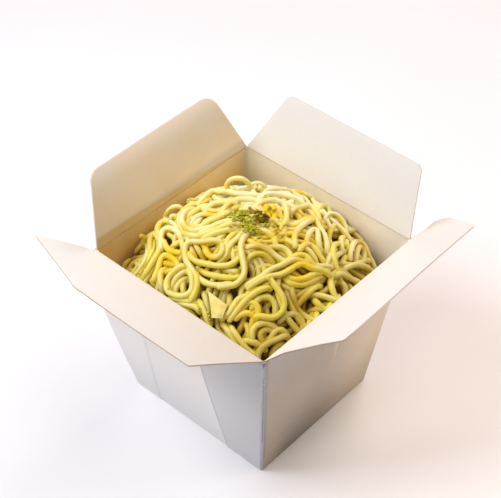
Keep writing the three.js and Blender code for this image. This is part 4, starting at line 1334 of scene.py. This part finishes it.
def noodle_material(name, colour, sauce):
    """Cooked noodle: translucent, moist, tinted strand by strand, golden where strands meet, partly
    as sauce and partly as painted shade.

    In turn: pale or plain by the strand's tint; darker and more golden towards the heap's front as
    painted shade, with the strands' tops kept paler as painted light; rich in patches, and on the
    flanks (face below 1) as sauce in the crevices and painted shade; painted light where the tone
    is below 0; golden at the sauce spots; dark by depth, as painted shade deep in the heap; and
    painted shade where the tone is above 0.
    """
    material, tree, shader = new_material(name)
    moist = tree.node("ShaderNodeGroup", node_tree=noodle_group()).outputs
    rich = four(colour, (0.98, 0.84, 0.31))
    front, face, tone = (tree.value(key) for key in ("front", "face", "tone"))
    tint = tree.ramp(tree.value("tint"), 0.15, 0.95, 0.25, 0.85)
    base = tree.mix(tint, four(colour, (1.08, 1.2, 4.6)), four(colour))
    # Painted shade towards the heap's front, darker and more golden, with the strands' tops kept
    # paler as painted light.
    crown = tree.ramp(face, 0.45, 1.0, 1.0, 0.5)
    base = tree.mix(tree.times(front, crown), base, four(colour, (0.70, 0.66, 0.26)))
    base = tree.mix(tree.times(moist["Patch"], 0.2), base, rich)
    # Flanks: rich golden, partly sauce in the crevices and partly painted shade.
    base = tree.mix(tree.ramp(face, 0.97, 0.0, 0.0, 0.9), base, rich)
    # Painted light where the tone is below 0.
    lit = tree.ramp(tone, 0.0, -1.0, 0.0, 0.8)
    base = tree.mix(lit, base, four(colour, (1.1, 1.19, 4.4)))
    wet = tree.times(tree.value("sauce"), tree.ramp(moist["Patch"], 0.1, 0.6, 0.6, 1.0))
    base = tree.mix(wet, base, four(sauce))
    # Painted shade deep in the heap, in a dark colour made from the sauce's, strongest towards the
    # front.
    darker = tree.times(tree.value("depth"), tree.ramp(front, 0.0, 1.0, 0.05, 0.9))
    base = tree.mix(darker, base, four(sauce, (0.42, 0.36, 0.5)))
    # Painted shade where the tone is above 0.
    base = tree.mix(tree.ramp(tone, 0.0, 1.0), base, (0.61, 0.49, 0.11, 1.0), "MULTIPLY")
    tree.plug(shader, {
        "Base Color": base,
        "Roughness": tree.ramp(moist["Fine"], 0.3, 0.7, 0.36, 0.52),
        "Normal": tree.bump(moist["Fine"], 0.15, 0.00015),
        "Subsurface Weight": 0.12,
        "Subsurface Radius": (1.0, 0.9, 0.5),
        "Subsurface Scale": 0.0008,
        "Specular IOR Level": 0.36,
    })
    return material


def plain_material(name, colour, other, scale, rough, bump, subsurface=0.0, tinted=None):
    """A colour broken up by noise towards a second, and by each piece's tint towards a third."""
    material, tree, shader = new_material(name)
    place = tree.place()
    patch = tree.ramp(tree.noise(place, scale, 3.0, 0.6), 0.35, 0.65)
    fine = tree.noise(place, scale * 5, 3.0, 0.6)
    base = tree.mix(patch, four(colour), four(other))
    if tinted:
        base = tree.mix(tree.value("tint"), base, four(tinted))
    tree.plug(shader, {
        "Base Color": base,
        "Roughness": tree.ramp(fine, 0.3, 0.7, rough - 0.08, rough + 0.08),
        "Normal": tree.bump(fine, bump, 0.0003),
        "Subsurface Weight": subsurface,
        "Subsurface Scale": 0.0015,
        "Specular IOR Level": 0.12,
    })
    return material


# ---- garnish and slice -------------------------------------------------------------------------


def flake_mesh(rng, place, size, thickness):
    """A curled shred of leaf: a small ruffled sheet with a second face a leaf's thickness below."""
    count = 4
    u, v = np.meshgrid(np.linspace(-1, 1, count), np.linspace(-1, 1, count), indexing="ij")
    round_u = u * np.sqrt(1 - v**2 / 2)
    round_v = v * np.sqrt(1 - u**2 / 2)
    lobes = np.sin(5 * np.arctan2(round_v, round_u) + rng.uniform(0, 6.3))
    rim = 1 + 0.3 * lobes * np.hypot(round_u, round_v)
    ruffle = 0.38 * np.sin(4.0 * round_u + rng.uniform(0, 6.3))
    ruffle = ruffle * np.cos(3.5 * round_v + rng.uniform(0, 6.3))
    sheet = np.stack([round_u * rim, round_v * rim * rng.uniform(0.45, 0.9), ruffle], -1)
    sheet = sheet.reshape(-1, 3) * size
    turn = Matrix.Rotation(rng.uniform(0, 6.3), 3, "Z")
    for axis, most in (("X", 0.9), ("Y", 0.5)):
        turn = turn @ Matrix.Rotation(rng.uniform(-most, most), 3, axis)
    points = np.concatenate([sheet, sheet - [0, 0, thickness]]) @ np.array(turn).T + place
    tint = np.full(len(points), rng.uniform(0, 1))
    return points, facing_out(points, slab_faces(count)), {"tint": tint}


# Heaps of chopped leaf, as plan points.
LEAF_SPOTS = [
    (-9.2, -4.4), (-5.7, -6.3), (-5.6, -4.5), (-7.6, 0.4), (-5.6, 0.2), (-2.3, -0.9),
    (-1.5, -3.8), (1, -3.3), (-2, -5.9), (2.1, -6.6), (4.5, -6), (6.2, -5.6), (6.6, 0.3),
    (-0.5, 3), (-6.8, -1.8), (-4, -2), (0, -1.5), (3, -4.5),
]

# Single shreds of leaf away from the middle, as plan points.
LONE_SHREDS = [
    (13.2, -44.9), (15.6, -46.4), (-29.7, -43.6), (-8, -47), (-33.4, -38.5), (10.4, -46.6),
    (13.2, -24.3), (25.7, -21.3), (-12, 3), (12, -9), (-11, -9), (14.5, -45.8),
]


def leaf_mesh(surface, rng):
    """Chopped leaf: shreds about each spot, a few more lying alone."""
    about = [
        (x + rng.normal(0.4, 0.9), y + rng.normal(-1.2, 0.9))
        for x, y in LEAF_SPOTS for _ in range(8)
    ]
    alone = [(-1 + rng.normal(0, 9.0), -3 + rng.normal(0, 7.0)) for _ in range(14)]
    parts = []
    for x, y in about + LONE_SHREDS + alone:
        ground = surface.resting(np.array([[x, y]]), 0.5)[0]
        place = np.array([x, y, ground + rng.uniform(-0.15, 0.55)])
        parts.append(flake_mesh(rng, place, rng.uniform(0.6, 1.2), thickness=0.15))
    return join_meshes(parts)


def crumb_mesh(rng, place, size):
    """A knobbly crumb: a sphere whose radius is broken up by a few waves."""
    count = 12
    theta, phi = np.meshgrid(
        np.linspace(0.001, math.pi - 0.001, count),
        np.linspace(0, 2 * math.pi, 2 * count, endpoint=False), indexing="ij",
    )
    phase = rng.uniform(0, 6.3, 6)
    flat = np.sin(theta)
    radius = 1 + (
        0.22 * np.sin(3 * phi + phase[0]) * flat**2 + 0.18 * np.sin(5 * theta + phase[1]) * flat
        + 0.13 * np.sin(7 * phi + phase[2]) * np.sin(3 * theta + phase[3]) * flat
    )
    points = np.stack([
        flat * np.cos(phi) * radius, flat * np.sin(phi) * radius, np.cos(theta) * radius,
    ], -1).reshape(-1, 3) * size
    index = np.arange(len(points)).reshape(count, 2 * count)
    poles = [points[index[row]].mean(0, keepdims=True) for row in (0, -1)]
    faces = np.concatenate([
        grid_faces(index, around=True),
        fan_faces(index[0][::-1], len(points)), fan_faces(index[-1], len(points) + 1),
    ])
    turn = Matrix.Rotation(rng.uniform(0, 6.3), 3, "Z")
    points = np.concatenate([points, *poles]) @ np.array(turn).T + place
    pale = smooth_step(0.95, 0.6, np.mean(size))
    return points, facing_out(points, faces), {"tint": np.full(len(points), pale)}


# Browned crumbs: place, half sizes.
CRUMBS = [
    ((-1.8, 3.5), (1.2, 1.0, 1.3)), ((0.2, 2.9), (0.9, 1.1, 1.1)), ((2.6, 2.9), (1.0, 0.9, 1.2)),
    ((2.4, -1.4), (1.5, 1.1, 0.8)), ((3.8, -0.4), (1.5, 1.3, 0.9)), ((4.0, 1.6), (1.6, 1.2, 1.0)),
    ((3.4, 3.6), (1.2, 0.9, 0.8)), ((5.4, 0.8), (1.1, 1.3, 0.8)), ((3.7, -2.6), (1.0, 0.7, 0.6)),
    ((-5.3, 2.4), (0.9, 0.7, 0.5)), ((-3.0, 1.8), (0.8, 0.7, 0.5)),
    ((11.8, 0.2), (0.7, 0.5, 0.4)), ((13.6, -1.2), (0.8, 0.5, 0.4)),
    ((15.6, -0.1), (0.6, 0.5, 0.4)), ((-2.6, -11.1), (0.5, 0.8, 0.3)),
    ((-2.9, -13.0), (0.8, 0.5, 0.3)), ((1.0, 8.6), (0.9, 0.8, 0.4)),
    ((3.0, 9.6), (0.8, 0.6, 0.4)),
]


def slice_mesh():
    """Thin pale slice: a four-cornered sheet blended from its corners, bowed and rippled.

    Its thickness is even and thins to a quarter along the edges.
    """
    corners = np.array([
        [9.1, -40.1, 97.6], [16.7, -46.2, 91.2], [20.6, -43.8, 92.0], [19.2, -39.4, 95.8],
    ])
    count, half_thickness = 16, 0.55
    u, v = np.meshgrid(np.linspace(0, 1, count), np.linspace(0, 1, count), indexing="ij")
    u, v = u[..., None], v[..., None]
    sheet = (1 - u) * (1 - v) * corners[0] + u * (1 - v) * corners[1]
    sheet = sheet + u * v * corners[2] + (1 - u) * v * corners[3]
    normal = np.cross(corners[1] - corners[0], corners[3] - corners[0])
    normal *= np.sign(normal[2]) / np.linalg.norm(normal)
    bow = 0.7 * np.sin(math.pi * u) * np.sin(math.pi * v) + 0.25 * np.sin(7 * u + 3 * v)
    inward = np.minimum(np.minimum(u, 1 - u), np.minimum(v, 1 - v))
    offset = normal * half_thickness * np.clip(4 * inward, 0.25, 1.0)
    sheet = sheet + normal * bow
    points = np.concatenate([(sheet + offset).reshape(-1, 3), (sheet - offset).reshape(-1, 3)])
    return points, facing_out(points, slab_faces(count))


# ---- operators ---------------------------------------------------------------------------------


class TAKEAWAY_OT_box(bpy.types.Operator):
    """Builds the box: base and walls of folded board, with glued corner panels"""

    bl_idname = "takeaway.box"
    bl_label = "Box"

    def execute(self, context):
        points, faces, face_material, values = body_mesh()
        body = add_piece(
            "box_of_board", points, facing_out(points, faces), board_materials(), face_material,
            values, sharp=32.0,
        )
        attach(body, "box")
        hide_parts("box_body")
        return {"FINISHED"}


class TAKEAWAY_OT_flaps(bpy.types.Operator):
    """Builds the four top flaps, each turning about its crease"""

    bl_idname = "takeaway.flaps"
    bl_label = "Flaps"

    def execute(self, context):
        for name, shape in flap_outlines().items():
            points, faces, face_material, values = flap_mesh(name, shape)
            flap = add_piece(
                f"{name}_flap_board", points, faces, board_materials(), face_material, values,
                sharp=35.0,
            )
            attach(flap, f"{name}_flap")
            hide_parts(f"flap_{name}")
        return {"FINISHED"}


class TAKEAWAY_OT_noodles(bpy.types.Operator):
    """Lays the heap of noodles, with the chopped leaf and crumbs on top"""

    bl_idname = "takeaway.noodles"
    bl_label = "Noodles"

    def execute(self, context):
        colours, sizes = settings().colours, settings().noodles
        rng = np.random.default_rng(sizes.seed)
        radius = sizes.thickness / MM / 2
        surface = HeapSurface(depth=9.0)
        tops = top_noodles(radius, step=1.0)
        limit = filling_limit(surface, tops, radius)
        filling = lay_filling(surface, limit, rng, radius, step=1.5)
        upper = lay_top(surface, tops, rng, radius)
        noodle = noodle_material("noodle", colours.noodle, colours.sauce)
        pieces = []
        heaps = (("noodles_beneath", filling, 7), ("noodles_on_top", upper, 10))
        for name, strands, sides in heaps:
            points, faces, values = join_meshes([
                noodle_mesh(path, size, sides, rng.uniform(0, 1), noodle_values(path))
                for path, size in strands
            ])
            pieces.append(
                add_piece(name, points, facing_out(points, faces), [noodle], values=values)
            )
        points, faces = core_mesh(depth=8.6)
        values = noodle_values(points)
        # Face 0 and full depth give the core, seen in the gaps, the flanks' golden colour and the
        # painted shade deep in the heap.
        values["tint"], values["face"] = np.ones(len(points)), np.zeros(len(points))
        pieces.append(
            add_piece("noodle_core", points, facing_out(points, faces), [noodle], values=values)
        )
        points, faces, values = leaf_mesh(surface, rng)
        leaf = plain_material(
            "leaf", colours.leaf, colours.leaf_light, scale=420.0, rough=0.7, bump=0.5,
            tinted=colours.leaf_dry,
        )
        pieces.append(add_piece("chopped_leaf", points, faces, [leaf], values=values))
        crumbs = []
        for (x, y), size in CRUMBS:
            ground = surface.resting(np.array([[x, y]]), 1.0)[0]
            crumbs.append(crumb_mesh(rng, np.array([x, y, ground]), np.asarray(size)))
        points, faces, values = join_meshes(crumbs)
        crumb = plain_material(
            "crumb", colours.crumb, colours.crumb_light, scale=500.0, rough=0.8, bump=0.8,
            tinted=colours.crumb_small,
        )
        pieces.append(add_piece("browned_crumbs", points, faces, [crumb], values=values))
        for piece in pieces:
            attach(piece, "box")
            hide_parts("noodles")
        return {"FINISHED"}


class TAKEAWAY_OT_slice(bpy.types.Operator):
    """Builds the thin pale slice at the front of the heap"""

    bl_idname = "takeaway.slice"
    bl_label = "Slice"

    def execute(self, context):
        colour = settings().colours.slice_flesh
        points, faces = slice_mesh()
        material = plain_material(
            "slice_flesh", colour, four(colour, (0.93, 0.9, 0.75))[:3], scale=160.0, rough=0.42,
            bump=0.3, subsurface=0.3,
        )
        piece = add_piece("slice", points, faces, [material], sharp=60.0)
        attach(piece, "box")
        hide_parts("pale_slice")
        return {"FINISHED"}


def placed(place, right, up, back):
    """Matrix of an object at a place whose X, Y and Z point right, up and back."""
    turn = np.stack([right, up, back], 1)
    return Matrix.Translation(place) @ Matrix(turn.tolist()).to_4x4()


def add_light(name, power, place, aim, size, colour):
    """A square area light at a place, facing a point."""
    lamp = bpy.data.lights.new(name, "AREA")
    lamp.shape = "SQUARE"
    lamp.size = size
    lamp.energy = power
    lamp.color = colour
    holder = bpy.data.objects.new(name, lamp)
    back = np.asarray(place, float) - np.asarray(aim, float)
    back /= np.linalg.norm(back)
    side = np.cross([0.0, 0.0, 1.0], back)
    side /= np.linalg.norm(side)
    holder.matrix_world = placed(place, side, np.cross(back, side), back)
    bpy.context.scene.collection.objects.link(holder)


def camera_matrix():
    """The camera's place and turn, from its azimuth, elevation and roll about the box's base."""
    azimuth, rise, roll = map(math.radians, (CAMERA_AZIMUTH, CAMERA_ELEVATION, CAMERA_ROLL))
    back = np.array([
        math.sin(azimuth) * math.cos(rise), -math.cos(azimuth) * math.cos(rise), math.sin(rise),
    ])
    level = np.array([math.cos(azimuth), math.sin(azimuth), 0.0])
    upright = np.cross(back, level)
    right = math.cos(roll) * level + math.sin(roll) * upright
    up = math.cos(roll) * upright - math.sin(roll) * level
    place = CAMERA_DISTANCE * back + CAMERA_SHIFT[0] * right + CAMERA_SHIFT[1] * up
    return placed(place, right, up, back)


class TAKEAWAY_OT_stage(bpy.types.Operator):
    """Sets the camera, a pale floor and soft studio light"""

    bl_idname = "takeaway.stage"
    bl_label = "Stage"

    def execute(self, context):
        scene = context.scene
        light, colours = settings().light, settings().colours
        u = np.linspace(-FLOOR_REACH, FLOOR_REACH, FLOOR_COUNT)
        grid_x, grid_y = np.meshgrid(u, u, indexing="ij")
        points = np.stack([grid_x, grid_y, np.full_like(grid_x, -FLOOR_DROP)], -1).reshape(-1, 3)
        faces = grid_faces(np.arange(FLOOR_COUNT**2).reshape(FLOOR_COUNT, FLOOR_COUNT))
        floor = add_piece("floor", points, faces, [plain_material(
            "floor_paint", colours.floor, colours.floor_light, scale=6.0, rough=0.8, bump=0.02
        )])

        world = bpy.data.worlds.new("studio")
        world.use_nodes = True
        sky = world.node_tree.nodes["Background"].inputs
        sky["Color"].default_value = SKY_COLOUR
        sky["Strength"].default_value = light.sky
        scene.world = world
        for name, lamp in LIGHTS.items():
            add_light(name, getattr(light, f"{name}_power"), **lamp)

        camera_data = bpy.data.cameras.new("camera")
        camera_data.lens = CAMERA_LENS
        camera_data.sensor_width = 36.0
        camera_data.clip_start = 0.01
        camera = bpy.data.objects.new("camera", camera_data)
        camera.matrix_world = camera_matrix()
        scene.collection.objects.link(camera)
        scene.camera = camera
        scene.view_settings.view_transform = "Standard"
        return {"FINISHED"}


class TAKEAWAY_PT_panel(bpy.types.Panel):
    """Lists the sizes, the colours and one button for each piece"""

    bl_idname = "TAKEAWAY_PT_panel"
    bl_label = "Takeaway box"
    bl_space_type = "VIEW_3D"
    bl_region_type = "UI"
    bl_category = "Takeaway"

    def draw(self, context):
        chosen = context.scene.takeaway
        for group in (chosen.box, chosen.noodles, chosen.colours, chosen.light):
            for key in group.bl_rna.properties.keys():
                if key not in ("rna_type", "name"):
                    self.layout.prop(group, key)
        for name in PIECE_OPERATORS:
            self.layout.operator(f"takeaway.{name}")


PIECE_OPERATORS = ("stage", "box", "flaps", "noodles", "slice")
CLASSES = (
    TakeawayBoxSizes, TakeawayNoodleSizes, TakeawayColours, TakeawayLight, TakeawaySettings,
    TAKEAWAY_OT_stage, TAKEAWAY_OT_box, TAKEAWAY_OT_flaps, TAKEAWAY_OT_noodles, TAKEAWAY_OT_slice,
    TAKEAWAY_PT_panel,
)


def register():
    for each in CLASSES:
        bpy.utils.register_class(each)
    bpy.types.Scene.takeaway = PointerProperty(type=TakeawaySettings)


def unregister():
    del bpy.types.Scene.takeaway
    for each in reversed(CLASSES):
        bpy.utils.unregister_class(each)


def main():
    register()
    for name in PIECE_OPERATORS:
        getattr(bpy.ops.takeaway, name)()


if __name__ == "__main__":
    main()
